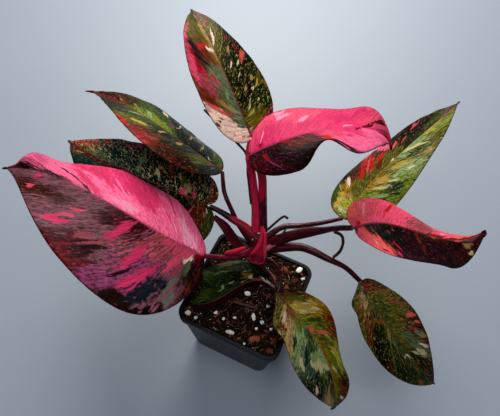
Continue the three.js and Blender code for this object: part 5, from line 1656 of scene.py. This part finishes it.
            ("rust", 0.12, -0.3), ("brown", 0.22, -0.75), ("black green", 0.3, -0.35),
            ("deep green", 0.4, -0.6), ("black green", 0.52, -0.3), ("deep green", 0.6, -0.6),
            ("green", 0.55, -0.85), ("deep green", 0.78, -0.35), ("green", 0.85, -0.7),
            ("deep green", 0.95, -0.3)),
        splashes=(
            ("blush", 0.12, -0.03, 0.14, 0.05), ("blush", 0.34, -0.02, 0.12, 0.04),
            ("dusty rose", 0.5, -0.02, 0.1, 0.04), ("dusty rose", 0.2, -0.35, 0.03, 0.05, -0.3),
            ("tan", 0.2, -0.22, 0.09, 0.03), ("sage", 0.33, -0.8, 0.07, 0.09),
            ("sage", 0.52, -0.92, 0.09, 0.06), ("dusty rose", 0.32, -0.93, 0.05, 0.04),
            ("ash green", 0.5, -0.68, 0.05, 0.03), ("rust", 0.4, -0.62, 0.02, 0.03),
            ("pale green", 0.72, -0.42, 0.045, 0.035), ("cream", 0.55, -0.13, 0.05, 0.035),
            ("gold", 0.53, -0.2, 0.06, 0.06), ("straw", 0.62, -0.1, 0.04, 0.03),
            ("pale green", 0.45, -0.33, 0.045, 0.035), ("straw", 0.66, -0.3, 0.02, 0.02),
            ("dark maroon", 0.42, -0.22, 0.04, 0.05), ("black green", 0.6, -0.36, 0.06, 0.06),
            ("ash green", 0.9, -0.6, 0.03, 0.04)),
        flecks=(("rust", 0.2), ("sage", 0.5))),
}
BLADE_SKINS = {
    "leaf_marbled": leaf_skin("marbled_leaf", 0.34, (0.16, 0.015, 0.03), 1),
    "leaf_dark": leaf_skin("dark_leaf", 0.3, (0.1, 0.03, 0.02), 2),
    "leaf_pink": leaf_skin("pink_leaf", 0.36, (0.35, 0.02, 0.08), 3),
    "leaf_lime": leaf_skin("lime_leaf", 0.32, (0.2, 0.13, 0.03), 4),
}
for number, (place, leaf) in enumerate(LEAVES.items()):
    node = f"leaf_{place}"
    mesh = blade_mesh(leaf, 10 * number + 1)
    settle(make_object(node, mesh, BLADE_SKINS[SLOT_OF[node]]), node)

# ---- floor and lights --------------------------------------------------------------------------
# A pale blue-grey table top, lit by one broad soft light from behind and a weaker fill in front.

FLOOR_HALF = 3.0
SKY_COLOUR = (0.5, 0.7, 1.0)
SKY_STRENGTH = 0.17
PLANT_MIDDLE = (0.0, 0.03, 0.13)


def floor_finish():
    finish = Finish("table_top", ior=1.4)
    place = finish.place()
    cloud = finish.noise(place, 0.3, detail=3)
    grain = finish.noise(place, 2 * MM, detail=3)
    colour = finish.mix((0.25, 0.284, 0.326), (0.288, 0.32, 0.358), cloud)
    return finish.surface(
        base_color=finish.shaded(colour, 0.98 + grain * 0.04), roughness=0.5 + grain * 0.1)


def soft_light(name, place, target, size, power, colour):
    light = bpy.data.lights.new(name, "AREA")
    light.shape = "DISK"
    light.size = size
    light.energy = power
    light.color = colour
    lamp = bpy.data.objects.new(name, light)
    lamp.location = place
    lamp.rotation_euler = (Vector(target) - Vector(place)).to_track_quat("-Z", "Y").to_euler()
    bpy.context.collection.objects.link(lamp)


table = bpy.data.meshes.new("table_top")
corners = [(x * FLOOR_HALF, y * FLOOR_HALF, 0) for x, y in ((-1, -1), (1, -1), (1, 1), (-1, 1))]
table.from_pydata(corners, [], [(0, 1, 2, 3)])
make_object("table_top", table, floor_finish())

soft_light("window", (-0.35, 0.85, 0.75), PLANT_MIDDLE, 0.7, 19, (1.0, 0.97, 0.93))
soft_light("ceiling", (0.1, -0.3, 1.4), PLANT_MIDDLE, 0.9, 6.8, (0.95, 0.98, 1.0))
world = bpy.data.worlds.new("studio")
world.use_nodes = True
sky = world.node_tree.nodes["Background"].inputs
sky["Color"].default_value = (*SKY_COLOUR, 1)
sky["Strength"].default_value = SKY_STRENGTH
bpy.context.scene.world = world
bpy.context.scene.view_settings.view_transform = "Standard"
